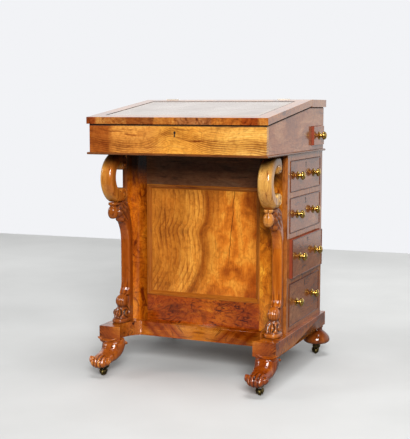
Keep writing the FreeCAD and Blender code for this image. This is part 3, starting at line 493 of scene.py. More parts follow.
BUN_RADIUS = 43
BUN_Y = 253
BUN_PROFILE = [
    (0, 40), (27, 40), (31, 40.4), (36, 42), (40, 45), (42.4, 48.6), (42.97, 52), (42.3, 56.5), (40.2, 62),
    (36.5, 67.2), (31.5, 72.5), (26, 77), (21.8, 80.2), (19.6, 82.6), (18.6, 85.4), (18.5, 88), (19.3, 91.5),
    (20.4, 93), (20.4, 95.5), (19.8, 97), (20.6, 99), (0, 99),
]
bun_low, bun_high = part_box("rear_feet")
bun_places = (bun_low.x + BUN_RADIUS * MM, bun_high.x - BUN_RADIUS * MM)
buns = [turned(BUN_PROFILE, (x, BUN_Y * MM, 0), steps=64) for x in bun_places]
bun_walnut = carved("turned walnut, bun feet", ("#ac6a30", "#864c1f", "#4c240e"), gloss=0.08)
piece("rear_feet_turned", joined(*buns), bun_walnut, "rear_feet", sharp=60)

# Castors: a socket let into each foot, a swivelling fork and a small wheel.
# Cast brass, gone dark olive with age; the wheels a little less rough than the forks.


def brass(name, colour, tarnish, polish, share):
    """Brass: yellow metal under a patchy brown tarnish that dulls it."""
    material, tree, shader, place = surface(name)
    spots = add(tree, "TexNoise", {"Vector": place, "Scale": 1 / 0.007, "Detail": 4.0})
    stain(tree, 1.0, spots, [(share - 0.14, tarnish), (share + 0.14, colour)])
    dulled = add(tree, "MapRange", [spots, 0.3, 0.7, polish + 0.14, polish])
    tree.links.new(dulled, shader["Roughness"])
    shader["Metallic"].default_value = 1.0
    return material


castor_bronze = brass("aged castor brass", "#8a7444", "#3b3323", 0.34, 0.56)
wheel_brass = brass("rubbed castor brass", "#83703f", "#40361f", 0.3, 0.5)
CASTOR_PLACES = {
    "front_left": (-SUPPORT_X, -243), "front_right": (SUPPORT_X, -243),
    "rear_left": (-263, BUN_Y), "rear_right": (263, BUN_Y),
}
SOCKET_PROFILE = [
    (4.05, 34), (13.2, 34), (14.6, 34.8), (15, 36), (14.7, 37.2), (13.4, 37.9), (13.4, 40), (4.05, 40),
    (4.05, 34),
]
CROWN_PROFILE = [
    (4.05, 33.4), (12.6, 33.4), (13.4, 32.2), (13.2, 29), (12, 25.6), (9.8, 22.8), (6.4, 21.4), (4.05, 21.2),
    (4.05, 33.4),
]
BOSS_PROFILE = [(0, 1.5), (5.2, 1.5), (5.6, 2.2), (5.4, 3.4), (3.6, 4.6), (0, 4.9)]
sockets = []
for corner, (x, y) in CASTOR_PLACES.items():
    pivot = (x * MM, y * MM, 0)
    sockets.append(turned(SOCKET_PROFILE, pivot, steps=40))
    fork = soften(cad_copy(f"castor_fork_{corner}"), 0.5, 3.5)
    joined(fork, turned(CROWN_PROFILE, pivot, steps=40))
    hub = sum(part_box(f"castor_wheel_{corner}"), Vector()) / 2
    for way in (-1, 1):
        joined(fork, turned(BOSS_PROFILE, hub + Vector((way * 5.5 * MM, 0, 0)), (way, 0, 0), steps=32))
    for way in (-1, 1):
        lump(fork, (hub.x / MM + way * 8.8, hub.y / MM, 15.5), (3, 8.5, 7.5))
    piece(f"castor_fork_{corner}_cast", fork, castor_bronze, f"castor_fork_{corner}")
    plain(f"castor_wheel_{corner}", "cast", 0.4, wheel_brass, 0.2, 50)
piece("castor_sockets_cast", joined(*sockets), castor_bronze, "castor_sockets")

# Pedestal front: two stiles and two rails round a sunk panel, tenoned and glued.
# Burr walnut veneer on the stiles, a nearly black leaf on the top rail and a red flame on the bottom one.
front_frame = cad_copy("front_frame")
panel_low, panel_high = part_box("front_panel")
for corner in (panel_low, panel_high):
    bmesh.ops.bisect_plane(front_frame, geom=whole(front_frame), plane_co=corner, plane_no=(1, 0, 0))
soften(front_frame, 0.5)
for face in front_frame.faces:
    middle = face.calc_center_median()
    if panel_low.x < middle.x < panel_high.x:
        face.material_index = 1 if middle.z > panel_high.z - 20 * MM else 2


def darkened(material, low, high, share, colour="#120a07"):
    """Darkens wood towards a colour, up to a share, from one height to another in mm."""
    tree = material.node_tree
    height = add(tree, "SeparateXYZ", [add(tree, "TexCoord", out="Object")], out="Z")
    stain(tree, add(tree, "MapRange", [height, low * MM, high * MM, 0.0, share]), colour)


stile_walnut = walnut(
    "burr walnut veneer on the stiles", ("#f0ad37", "#d18823", "#7f3c0f"), "Z", (90, 26), (90, 9), lines=1.0,
    burr=0.45, cloud=0.7, sway=80, shift=(0.05, 0.4, 0.0), leaves=[(0.3, "#ffe6bc"), (0.7, "#ffffff")],
)
# painted shadow: the writing box shades the tops of the stiles, so they are darkened from 560 mm up
darkened(stile_walnut, 560, 630, 0.92)
top_rail_walnut = walnut(
    "dark walnut veneer on the top rail", ("#8f6546", "#704f38", "#3a281e"), "X", (160, 14), (160, 7),
    burr=0.2, cloud=0.5,
)
BOTTOM_RAIL_LEAVES = [
    (0.2, "#ecd4bc"), (0.34, "#fff4dc"), (0.46, "#fff4dc"), (0.6, "#d2b096"), (0.8, "#dcbca0"),
]
bottom_rail_walnut = walnut(
    "red flame walnut veneer on the bottom rail", ("#d68a20", "#b46214", "#3c1303"), "X", (70, 14),
    (150, 3.5), lines=1.0, burr=0.5, sway=70, shift=(0.4, 0.0, 0.7), leaves=BOTTOM_RAIL_LEAVES, slant=25,
)
front_woods = [stile_walnut, top_rail_walnut, bottom_rail_walnut]
piece("front_frame_veneered", front_frame, front_woods, "front_frame")

# Front panel: one wide leaf of figured walnut in the middle of the pedestal front.
# Crown-cut veneer with long wavering dark lines, laid flat and polished to a mirror.
HEART = [
    (225, -58), (266, -35), (312, -11), (357, 0), (400, -4), (431, -9), (458, 5), (511, 13), (571, 4),
]
HEART_TINTS = [
    (0.0, "#e6d6c0"), (0.2, "#dcc6ac"), (0.3, "#ceb698"), (0.36, "#f0e4d4"), (0.42, "#fffaf0"),
    (0.47, "#f6ead8"), (0.5, "#b49272"), (0.525, "#c0a080"), (0.57, "#e6d4ba"), (0.64, "#fff4de"),
    (0.74, "#fff0d2"), (0.88, "#fae8ca"), (0.97, "#c8a27c"),
]
panel_walnut = walnut(
    "crown-cut walnut veneer on the panel", ("#f8bc5a", "#e6a242", "#84451a"), "Z", (420, 6), (0, 16),
    lines=1.0, burr=0.3, cloud=0.85, sway=10, shift=(0.0, 0.0, 0.33), heart=HEART, tints=HEART_TINTS,
    patch=(90, 60),
)
# the leaf has cracked along the grain in its upper right part; the crack is 2 mm wide and leans to the right
CRACK_X, CRACK_LEAN, CRACK_WAVER, CRACK_HALF = 0.052, 0.083, 0.008, 0.001
tree = panel_walnut.node_tree
place = add(tree, "TexCoord", out="Object")
jag = add(tree, "TexNoise", {"Vector": place, "Scale": 1 / 0.03, "Detail": 2.0})
split = add(tree, "SeparateXYZ", [place]).node.outputs
straight = add(tree, "Math", [split["Z"], CRACK_LEAN, CRACK_X], operation="MULTIPLY_ADD")
wavering = add(tree, "Math", [jag, CRACK_WAVER, straight], operation="MULTIPLY_ADD")
cracked = add(tree, "Math", [split["X"], wavering, CRACK_HALF], operation="COMPARE")
upper = add(tree, "MapRange", [split["Z"], 0.32, 0.37, 0.0, 0.85])
stain(tree, add(tree, "Math", [cracked, upper], operation="MULTIPLY"), "#3a1d0c")
plain("front_panel", "veneered", 0.3, panel_walnut)

# Panel moulding: a bead and ogee strip mitred round the panel.
# Solid walnut run with a moulding plane, glued into the rebate of the frame.


def framing(corners, section, sunk):
    """A mitred strip round a rectangle; its section is steps inwards and outwards in millimetres."""
    bm = bmesh.new()
    face = bm.faces.new([bm.verts.new(Vector(corner) * MM) for corner in corners])
    bm.normal_update()
    outward = face.normal.copy()
    for inwards, out in section:
        bmesh.ops.inset_region(
            bm, faces=[face], thickness=inwards * MM, depth=out * MM, use_boundary=True, use_even_offset=True
        )
    inner = list(face.edges)
    bmesh.ops.delete(bm, geom=[face], context="FACES_ONLY")
    outer = [edge for edge in bm.edges if edge.is_boundary and edge not in inner]
    behind = bmesh.ops.extrude_edge_only(bm, edges=outer)["geom"]
    bmesh.ops.translate(bm, verts=only(BMVert, behind), vec=outward * -sunk * MM)
    rim = [edge for edge in only(BMEdge, behind) if edge.is_boundary]
    bmesh.ops.bridge_loops(bm, edges=rim + inner)
    bmesh.ops.recalc_face_normals(bm, faces=bm.faces)
    return bm


BEAD_AND_OGEE = [
    (0.3, 0.8), (0.9, 0.6), (1.6, 0.1), (0.9, -0.6), (0.4, -0.9), (0.6, -1.4), (1.8, -0.3), (1.9, -1.1),
    (1.6, -2.2), (1.3, -2.4), (1.2, -1.2), (1.5, -0.3),
]
FRONT_FACE = -82
moulding_low, moulding_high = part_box("front_panel_moulding")
left, right = moulding_low.x / MM, moulding_high.x / MM
bottom, top = moulding_low.z / MM, moulding_high.z / MM
outline = ((left, bottom), (right, bottom), (right, top), (left, top))
moulding = framing([(x, FRONT_FACE, z) for x, z in outline], BEAD_AND_OGEE, 9)
for face in moulding.faces:
    middle = face.calc_center_median() / MM
    to_sides = min(middle.x - left, right - middle.x)
    to_ends = min(middle.z - bottom, top - middle.z)
    face.material_index = to_sides < to_ends
MOULDING_TONES = ("#bc782c", "#9e5a1a", "#69330e")
moulding_woods = [
    walnut(name, MOULDING_TONES, grain, (160, 9), (200, 6), 0.1, cloud=0.3, sway=5)
    for name, grain in (
        ("straight walnut in the mouldings", "X"),
        ("straight walnut in the upright mouldings", "Z"),
    )
]
piece("front_panel_bead_and_ogee", moulding, moulding_woods, "front_panel_moulding", sharp=28)

# Right side of the pedestal: corner stiles and the rails between the drawers.
# Pine cross-banded with walnut, so the grain of the rails runs upright.
banding_walnut = walnut(
    "cross-banded walnut on the drawer rails", ("#c48444", "#a5642c", "#6e3a18"), "Z", (60, 12), (80, 6),
    lines=0.3, burr=0.2, cloud=0.35, sway=8,
)
plain("drawer_face_frame", "banded", 0.8, banding_walnut)

# Left side and back of the pedestal: boards veneered to match, the left one recessed for dummy fronts.
# Straight-grained walnut, with the figure running upright.
side_walnut = walnut(
    "straight walnut veneer on the sides", ("#bf7e42", "#9f602f", "#6b391a"), "Z", (300, 14), (330, 10),
    burr=0.15, cloud=0.5, shift=(0.7, 0.2, 0.1),
)
for board in ("left_side", "back_board"):
    plain(board, "veneered", 0.8, side_walnut)

# Runners and floor inside the pedestal: plain bearers that the drawers slide on.
# Unpolished pine and oak, planed and left dry, a little dusty.


def lining(name, tones, grain, shift=(0, 0, 0)):
    """Dry drawer lining: open straight grain with no polish."""
    return walnut(name, tones, grain, (260, 8), (300, 6), 0.2, cloud=0.25, sway=5, shift=shift, gloss=0.5)


lining_wood = lining("dry oak lining", ("#c9a26b", "#b48a55", "#8b6539"), "X")
for board in ("drawer_runners", "pedestal_floor"):
    plain(board, "planed", 0.5, lining_wood)

# Drawers: four graduated drawers, each with a lock and keyhole, two turned brass knobs and a cock bead.
# Walnut veneer on the fronts, dovetailed oak boxes behind; the left side has dummy fronts to match.
LEFT_FACE = -271.5
drawer_walnut = walnut(
    "walnut veneer on the drawer fronts", ("#b97b48", "#9c6237", "#6e3e22"), "Y", (150, 18), (160, 9),
    burr=0.25, cloud=0.5, shift=(0.4, 0.9, 0.15),
)
CORE_TONES = ("#a34817", "#8c3710", "#602109")
core_wood = lining("red mahogany core of the fronts", CORE_TONES, "Z", (0.3, 0.3, 0.3))
# the beads are dark walnut, painted darker still as the shade line along the edges of the fronts
BEAD_SHADE_TONES = ("#7a3d1c", "#5f2c12", "#3d1a0a")
bead_walnut_and_shade = walnut("walnut cock beading darkened as shade", BEAD_SHADE_TONES, "Y", (150, 8), (150, 5), 0.1, cloud=0.2, sway=3)
ebony = lining("black thread round the keyholes", ("#1c1410", "#140e0a", "#0a0705"), "Z")
knob_brass = brass("polished brass", "#bf9a4e", "#735727", 0.1, 0.38)
lock_brass = brass("lock brass", "#b99a58", "#7c6232", 0.3, 0.45)
COCK_BEAD = [(0.2, 0.8), (0.5, 0.6), (0.7, 0.15), (0.7, -0.15), (0.5, -0.6), (0.2, -0.8)]
KEYHOLE = [
    (-1.7, -9), (1.7, -9), (1.7, 0.6), (3.2, 2.2), (3.6, 4.6), (2, 7),
    (-2, 7), (-3.6, 4.6), (-3.2, 2.2), (-1.7, 0.6),
]
KNOB_PROFILE = [
    (0, 0), (12.4, 0), (12.6, 1), (11.8, 2.2), (9.6, 3.2), (7.4, 4.2), (6.2, 5.4), (5.6, 6.8), (5.6, 8),
    (6.4, 9), (7.6, 9.6), (8, 10.2), (7.8, 10.8), (9.4, 11.6), (11.4, 12.8), (12.6, 14.4), (13, 16),
    (12.6, 17.8), (11.4, 19.8), (9.4, 21.6), (7, 22.9), (4.6, 23.6), (2.4, 23.9), (0, 24),
]
CAD_KNOB_RADIUS = 11


def cored(node, radius):
    """A drawer front that shows its core, the second material, on its edges."""
    bm = soften(cad_copy(node), radius)
    for face in bm.faces:
        face.material_index = abs(face.normal.x) < 0.5
    return bm


def beaded_front(low, high, x, facing):
    """The cock bead round a drawer front at x, which faces right (1) or left (-1)."""
    corners = [(x, low.y, low.z), (x, high.y, low.z), (x, high.y, high.z), (x, low.y, high.z)]
    return framing([Vector(corner) / MM for corner in corners[::facing]], COCK_BEAD, 0.3)


def keyhole(place, outward, proud=0.3):
    """The black-lined opening for a key at a place on an upright face, standing just proud of it."""
    out, up = Vector(outward), Vector((0, 0, 1))
    bm = bmesh.new()
    front = Vector(place) + out * proud * MM
    ring = [bm.verts.new(front + (up.cross(out) * across + up * height) * MM) for across, height in KEYHOLE]
    behind = bmesh.ops.extrude_face_region(bm, geom=[bm.faces.new(ring)])["geom"]
    bmesh.ops.translate(bm, verts=only(BMVert, behind), vec=-out * MM)
    bmesh.ops.recalc_face_normals(bm, faces=bm.faces)
    return bm


dummy_knobs = []
dummy_beads = []
for number in (1, 2, 3, 4):
    drawer = f"drawer_{number}"
    front = f"{drawer}_front"
    piece(f"{front}_veneered", cored(front, 0.6), [drawer_walnut, core_wood], front)
    low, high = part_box(front)
    bead = beaded_front(low, high, high.x, 1)
    piece(f"{drawer}_cock_bead", bead, bead_walnut_and_shade, front, sharp=28)
    dummy_beads.append(beaded_front(low, high, LEFT_FACE * MM, -1))
    plain(f"{drawer}_box", "dovetailed", 0.4, lining_wood)
    plain(f"{drawer}_lock", "case", 0.5, lock_brass, 5)
    lock = sum(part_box(f"{drawer}_lock"), Vector()) / 2
    key_way = keyhole((high.x, lock.y, lock.z), (1, 0, 0))
    piece(f"{drawer}_keyhole", key_way, ebony, front)
    knob_low, knob_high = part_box(f"{drawer}_knobs")
    height = (knob_low.z + knob_high.z) / 2
    pair = []
    for y in (knob_low.y + CAD_KNOB_RADIUS * MM, knob_high.y - CAD_KNOB_RADIUS * MM):
        pair.append(turned(KNOB_PROFILE, (knob_low.x, y, height), (1, 0, 0)))
        dummy_knobs.append(turned(KNOB_PROFILE, (LEFT_FACE * MM, y, height), (-1, 0, 0)))
    piece(f"{drawer}_knobs_turned", joined(*pair), knob_brass, f"{drawer}_knobs", sharp=40)
dummies = soften(cad_copy("dummy_drawer_fronts"), 0.6)
piece("dummy_fronts_veneered", dummies, drawer_walnut, "dummy_drawer_fronts")
dummy_bead = joined(*dummy_beads)
piece("dummy_cock_beads", dummy_bead, bead_walnut_and_shade, "dummy_drawer_fronts", sharp=28)

# Carved supports: an open C-scroll under the writing box on a column that leans back to the pedestal.
# Solid walnut; the scroll's broad face is crowned, its ends roll up into volutes with raised eyes.
UPPER_Y, UPPER_Z = -146, 634
LOWER_Y, LOWER_Z = -150, 542
ROLL_DEPTH, ROLL_HEIGHT = 24, 35
ROLL_RADIUS = 0.016
SCROLL_HALF = 20.5
scroll = cad_copy("support_scrolls")
bmesh.ops.delete(scroll, geom=[vert for vert in scroll.verts if vert.co.x < 0], context="VERTS")
for degrees in (20, 45, 70):
    across, up = math.cos(math.radians(degrees)), math.sin(math.radians(degrees))
    tangent = Vector((0, UPPER_Y + ROLL_DEPTH * across, UPPER_Z + ROLL_HEIGHT * up)) * MM
    facing = Vector((0, across / ROLL_DEPTH, up / ROLL_HEIGHT)).normalized()
    cut = bmesh.ops.bisect_plane(
        scroll, geom=whole(scroll), plane_co=tangent, plane_no=facing, clear_outer=True
    )
    bmesh.ops.contextual_create(scroll, geom=only(BMEdge, cut["geom_cut"]))
bmesh.ops.recalc_face_normals(scroll, faces=scroll.faces)
hollow_middle = Vector((0, -0.14, 0.6))
for crowned, radius in ((True, 12), (False, 4)):
    rims = [
        edge
        for edge in scroll.edges
        if edge.is_manifold
        and edge.calc_face_angle() > math.radians(60)
        and abs(edge.verts[0].co.x - edge.verts[1].co.x) < MM
        and crowned
        == any(
            face.normal.dot(face.calc_center_median() - hollow_middle) > 0 and abs(face.normal.x) < 0.5
            for face in edge.link_faces
        )
    ]
    rounded(scroll, rims, radius, 5)
# the upper end tapers into the roll that it is wound round
for vert in scroll.verts:
    from_eye = Vector((0, vert.co.y - UPPER_Y * MM, vert.co.z - UPPER_Z * MM))
    if from_eye.y > 0 and from_eye.z < 0.002 and ROLL_RADIUS < from_eye.length < 0.04:
        vert.co -= from_eye.normalized() * (from_eye.length - ROLL_RADIUS)
for side in (-1, 1):
    face = SUPPORT_X + side * (SCROLL_HALF - 0.3)
    lump(scroll, (face, LOWER_Y, LOWER_Z), (3.6, 7, 7))
    lump(scroll, (face, UPPER_Y, UPPER_Z - 1), (4.2, 7, 7))
    volute(scroll, (face, LOWER_Y, LOWER_Z), 17, 3.2, -20, -1)
    volute(scroll, (face, UPPER_Y, UPPER_Z), 15, 3.0, 60, 1)
CURL = [
    (0, 0), (11, 0), (14.5, 1.2), (16.6, 4), (17, 8), (17, 33), (16.6, 37), (14.5, 39.8), (11, 41), (0, 41),
]
curl = turned(CURL, ((SUPPORT_X - SCROLL_HALF) * MM, UPPER_Y * MM, UPPER_Z * MM), (1, 0, 0))
scroll = skin(joined(scroll, curl), 1.2, 4)
wax_and_shade = scroll.verts.layers.float.new("wax_and_shade")
# painted shade: the inner faces of the C, turned towards its hollow, are darkened
for vert in scroll.verts:
    inwards = hollow_middle - vert.co
    inwards.x = 0
    vert[wax_and_shade] = 0.6 * held((vert.normal.dot(inwards.normalized()) - 0.1) / 0.6)
SCROLL_TONES = ("#f6d48e", "#e5bd6b", "#935f2c")
# painted shade: the left scroll darkens from its outer side towards its inner side
LEFT_SCROLL_SHADE = [(0.04, "#fff2d8"), (0.1, "#dab084"), (0.6, "#ffffff")]
scroll_walnut = carved("carved walnut, scrolls", SCROLL_TONES, (0.1, 0.3, 0.2), 0.1, LEFT_SCROLL_SHADE)
# painted shadow: the tops of the scrolls, under the writing box, are darkened from 622 mm up
darkened(scroll_walnut, 622, 658, 0.8)
piece("support_scrolls_carved", mirrored(scroll), scroll_walnut, "support_scrolls", sharp=80)

# Columns under the scrolls: collar and drop, a shaft that sweeps back, a fluted ball and a leafy bulb.
# Solid walnut, carved in one length and glued to the stiles.
# A station of the shaft is its height, front, back and half width.
SHAFT = [
    (514, -150, -108, 13), (508, -152, -106, 14), (498, -156, -103, 15), (486, -157, -99, 15.5),
    (473, -151, -94, 15.5), (460, -139, -90, 15.5), (446, -128, -86, 15.5), (430, -119.5, -82, 15.5),
    (412, -114, -82, 15.5), (398, -112.3, -82, 15.5), (330, -112, -82, 15.5), (264, -112, -82, 15.5),
    (248, -114, -82, 15.8), (239, -118, -82, 16.2), (233, -123, -82, 16.4), (228, -126, -82, 16),
    (225, -120, -82, 15.2), (222, -112, -82, 15.2), (143, -112, -82, 15.2),
]
KNOP = [
    (-126, 229, 8, 5, 0), (-130, 224, 12.5, 12, 0), (-132, 219, 15.8, 16, 0), (-133, 212, 17.5, 18, 0),
    (-133, 206, 17.7, 18.4, 0), (-133, 200, 16.8, 17.4, 0), (-133, 195, 13.8, 14, 0),
    (-133, 191.5, 12.6, 12.4, 0), (-133, 188.5, 14.2, 14.6, 0), (-134, 183, 17.8, 20, 0),
    (-135, 174, 20.2, 25, 0), (-135, 165, 20.8, 26.4, 0), (-135, 159, 20.4, 26, 0),
    (-135, 157, 20.2, 25.8, 0), (-136, 155.6, 22, 30, 0), (-136, 153.4, 23.6, 33.2, 0),
    (-136, 150, 24, 34, 0), (-136, 147, 23.8, 33.6, 0), (-136, 144.8, 22.8, 32, 0), (-136, 143, 21.4, 30, 0),
]
stations = [((front + back) / 2, z, half, (back - front) / 2, 0) for z, front, back, half in SHAFT]
column = joined(swept(stations, 5.0), swept(KNOP, 2.6))
lump(column, (SUPPORT_X, -163, 515), (13, 12, 7))
lump(column, (SUPPORT_X, -130, 515), (13, 16, 9))
lump(column, (SUPPORT_X, -146, 506), (16.5, 14, 15))
lump(column, (SUPPORT_X, -151, 487), (17.2, 13, 15))
lump(column, (SUPPORT_X, -138, 468), (17, 13, 15), 30)
for side in (-1, 1):
    lump(column, (SUPPORT_X + side * 13, -128, 494), (6, 11, 14), -20)
    lump(column, (SUPPORT_X + side * 19, -140, 172), (4.5, 13, 13))
column = skin(column, 1.3, 3)
wax_and_shade = column.verts.layers.float.new("wax_and_shade")
for vert in column.verts:
    x, y, z = vert.co / MM
    across = abs(x - SUPPORT_X)
    # the bulb has curling veins and a coil on each side, the ball upright flutes; every cut is in mm
    leaf = held((z - 158) / 4, (190 - z) / 5)
    vein = 5.0 * held(1 - abs(across - 8 - 3.5 * math.cos(z / 5.5)) / 4.2) + 3.0 * held(1 - across / 2.6)
    coil = leaf * (across > 15) * 3.0 * held(math.sin(math.hypot(y + 140, z - 172) / 1.5))
    flute = 1.1 * held((z - 195) / 6, (225 - z) / 6) * held(1 - abs(across % 7.6 - 3.8) / 2.1)
    # the leaves under the scroll are folded, the petals above the ball hollowed
    ruffle = held((y + 164) / 4, (-112 - y) / 8, (z - 452) / 8, (518 - z) / 6)
    fold = 2.2 * (0.5 + 0.5 * math.sin((z * 0.8 + y * 0.7) / 2.4)) * held((across - 6) / 4)
    petal = held((z - 226) / 5, (286 - z) / 45)
    hollow = 2.8 * held(1 - ((across - 8) / (5.6 * petal + 0.01)) ** 2) * petal
    cut = leaf * vein * (across < 15) + coil + flute + ruffle * fold + hollow
    if y < -84 and cut:
        vert.co -= vert.normal * cut * MM
        vert[wax_and_shade] = min(0.85, (leaf * cut + flute + 0.4 * ruffle * fold) / 4)
    # wax and painted shade also darken the neck under the ball and the column's foot
    ringed = max(0.0, 1 - abs(z - 192) / 6, 0.8 - abs(z - 158) / 3, 1 - abs(z - 143) / 5)
    if y < -113 and ringed:
        vert[wax_and_shade] = max(vert[wax_and_shade], 0.75 * ringed)
COLUMN_TONES = ("#e69e3c", "#c97d26", "#6e340c")
# painted shade: the left column is tinted darker than the right one
LEFT_COLUMN_SHADE = [(0.4, "#dacae2"), (0.6, "#ffffff")]
column_walnut = carved("carved walnut, columns", COLUMN_TONES, (0.5, 0.2, 0.6), 0.08, LEFT_COLUMN_SHADE)
# the carved bulbs and leaves are darker and browner than the plain shaft between them
darkened(column_walnut, 250, 190, 0.3, "#4c3024")
darkened(column_walnut, 440, 480, 0.45, "#4c3024")
piece("support_columns_carved", mirrored(column), column_walnut, "support_columns", sharp=60)
DROP_Y = -184
DROP = [
    (520.5, 12.2), (519, 13.6), (514, 13.6), (512, 12), (510.5, 9.6), (508.5, 9), (507, 9.8), (503.5, 12.4),
    (498, 14.5), (490, 15.4), (483, 14.7), (477, 12.7), (473, 9.7), (471, 6.6), (470.4, 3),
]
drop = skin(swept([(DROP_Y, z, radius, radius, 0) for z, radius in DROP], 2.1), 0.9, 1)
DROP_TONES = ("#edb862", "#d3964a", "#6e3e18")
DROP_LEAVES = [(0.4, "#dcc4a4"), (0.6, "#ffffff")]
drop_walnut = carved("carved walnut, drops", DROP_TONES, gloss=0.08, leaves=DROP_LEAVES)
piece("support_drops_turned", mirrored(drop), drop_walnut, "support_columns", sharp=60)

# Writing box: a base board with a rounded edge, and four walls dovetailed together above it.
# Pine faced with walnut; the front shows three leaves of veneer, the right-hand one the palest.
NOSING_TONES = ("#96602f", "#784722", "#472410")
nosing_walnut = walnut("dark walnut on the nosing", NOSING_TONES, "X", (160, 9), (200, 6), 0.2, cloud=0.4)
plain("case_base_board", "nosed", 3.2, nosing_walnut)
CASE_LEAVES = [
    (0.0, "#b88a78"), (0.13, "#bd8f7c"), (0.165, "#f4ded6"), (0.36, "#f8e4dc"), (0.46, "#fff2d2"),
    (0.6, "#fff0d0"), (0.8, "#ffffff"),
]
CASE_HEART = [
    (-275, 704), (-150, 702), (-87, 704), (-56, 716), (-12, 738), (37, 731), (87, 714), (130, 706),
    (192, 703), (275, 699),
]
CASE_TINTS = [
    (0.0, "#ece0d0"), (0.36, "#fff6ea"), (0.45, "#f2e6d6"), (0.5, "#e0d0ba"), (0.56, "#fff8ec"),
    (1.0, "#ffffff"),
]
case_walnut = walnut(
    "flame walnut veneer on the writing box", ("#f9d680", "#eebc60", "#8a4c20"), "X", (240, 12), (0, 6),
    lines=1.7, burr=0.3, cloud=0.55, sway=34, shift=(0.13, 0.0, 0.5), leaves=CASE_LEAVES, heart=CASE_HEART,
    tints=CASE_TINTS, spread=(45, 14),
)
LID_SLOPE, LID_UNDERSIDE, LEDGE_UNDERSIDE = 0.13245, 0.7921, 0.807


def shaded_under_cover(material):
    """Paints a shadow on the last millimetres under the lid and ledge, and dulls the polish there."""
    tree = material.node_tree
    place = add(tree, "SeparateXYZ", [add(tree, "TexCoord", out="Object")]).node.outputs
    lid = add(tree, "Math", [place["Y"], LID_SLOPE, LID_UNDERSIDE], operation="MULTIPLY_ADD")
    cover = add(tree, "Math", [lid, LEDGE_UNDERSIDE], operation="MINIMUM")
    below = add(tree, "Math", [cover, place["Z"]], operation="SUBTRACT")
    # the painted shadow is full down to 1.8 mm below the cover and gone at 4.2 mm
    cover_shade = add(tree, "MapRange", [below, 0.0018, 0.0042, 0.92, 0.0])
    stain(tree, cover_shade, "#170b06")
    roughness = tree.nodes["Principled BSDF"].inputs["Roughness"]
    dulled = add(tree, "Math", [roughness.links[0].from_socket, cover_shade], operation="MAXIMUM")
    tree.links.new(dulled, roughness)


def eased(wall, outward):
    """A wall of the box whose outer top arris is planed off, so that a dark line shows under the lid."""
    bm = cad_copy(wall)
    arris = [
        edge
        for edge in bm.edges
        if any(face.normal.z > 0.9 for face in edge.link_faces)
        and any(face.normal.dot(Vector(outward)) > 0.9 for face in edge.link_faces)
    ]
    rounded(bm, arris, 2.4, 1)
    soften(bm, 0.5)
    for face in bm.faces:
        face.material_index = face.normal.z > 0.9
    return bm


RIM_TONES = ("#a06a3c", "#84522c", "#55301a")
rim_walnut = walnut("walnut facing on the rim", RIM_TONES, "X", (120, 12), (150, 6), 0.4)
case_side_walnut = walnut(
    "walnut veneer on the ends of the writing box", ("#d09a72", "#b57d55", "#875639"), "Y", (200, 18),
    (200, 8), lines=0.7, burr=0.25, shift=(0.2, 0.6, 0.3),
)
shaded_under_cover(case_walnut)
shaded_under_cover(case_side_walnut)
FRONTWARD = (0, -1, 0)
CASE_KEY = (0, -0.274, 0.731)
piece("case_front_veneered", eased("case_front", FRONTWARD), [case_walnut, rim_walnut], "case_front")
piece("case_keyhole", keyhole(CASE_KEY, FRONTWARD), ebony, "case_front")
WALLS = {"case_left_side": (-1, 0, 0), "case_right_side": (1, 0, 0), "case_back": (0, 1, 0)}
for wall, outward in WALLS.items():
    piece(f"{wall}_veneered", eased(wall, outward), [case_side_walnut, rim_walnut], wall)

# Fitted inside: a shelf with pigeonholes under the ledge, one small drawer and its dummy twin.
# Thin boards of pale polished wood, with small turned knobs.
bank_wood = walnut(
    "pale satinwood inside the writing box", ("#d9ab66", "#c9924c", "#a06a30"), "X", (200, 10), (200, 7), 0.2,
    cloud=0.3, sway=8,
)
for board in ("bank_partitions", "bank_drawer_front"):
    plain(board, "fitted", 0.5, bank_wood)
plain("bank_drawer_tray", "fitted", 0.3, lining_wood)
# the small knobs are 13 mm wide and 14 mm long
SMALL_KNOB = [(radius * 6.5 / 13, height * 14 / 24) for radius, height in KNOB_PROFILE]
small_low, small_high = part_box("bank_drawer_knob")
x, height = (small_low.x + small_high.x) / 2, (small_low.z + small_high.z) / 2
small_knob = turned(SMALL_KNOB, (x, small_high.y, height), FRONTWARD, steps=32)
piece("bank_drawer_knob_turned", small_knob, knob_brass, "bank_drawer_knob", sharp=40)
dummy_knobs.append(turned(SMALL_KNOB, (-x, small_high.y, height), FRONTWARD, steps=32))
piece("dummy_knobs_turned", joined(*dummy_knobs), knob_brass, "dummy_knobs", sharp=40)

# Pen drawer: a shallow drawer for pens and ink in the right wall, standing a little open.
# Its front is cut from the same leaf as the wall round it.
pen_front = cored("pen_drawer_front", 0.8)
pen_woods = [case_side_walnut, core_wood]
piece("pen_drawer_front_veneered", pen_front, pen_woods, "pen_drawer_front")
plain("pen_drawer_tray", "lined", 0.4, lining_wood)
pen_low, pen_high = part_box("pen_drawer_knob")
pen_at = (pen_low.x, (pen_low.y + pen_high.y) / 2, (pen_low.z + pen_high.z) / 2)
pen_knob = turned(KNOB_PROFILE, pen_at, (1, 0, 0))
piece("pen_drawer_knob_turned", pen_knob, knob_brass, "pen_drawer_knob", sharp=40)

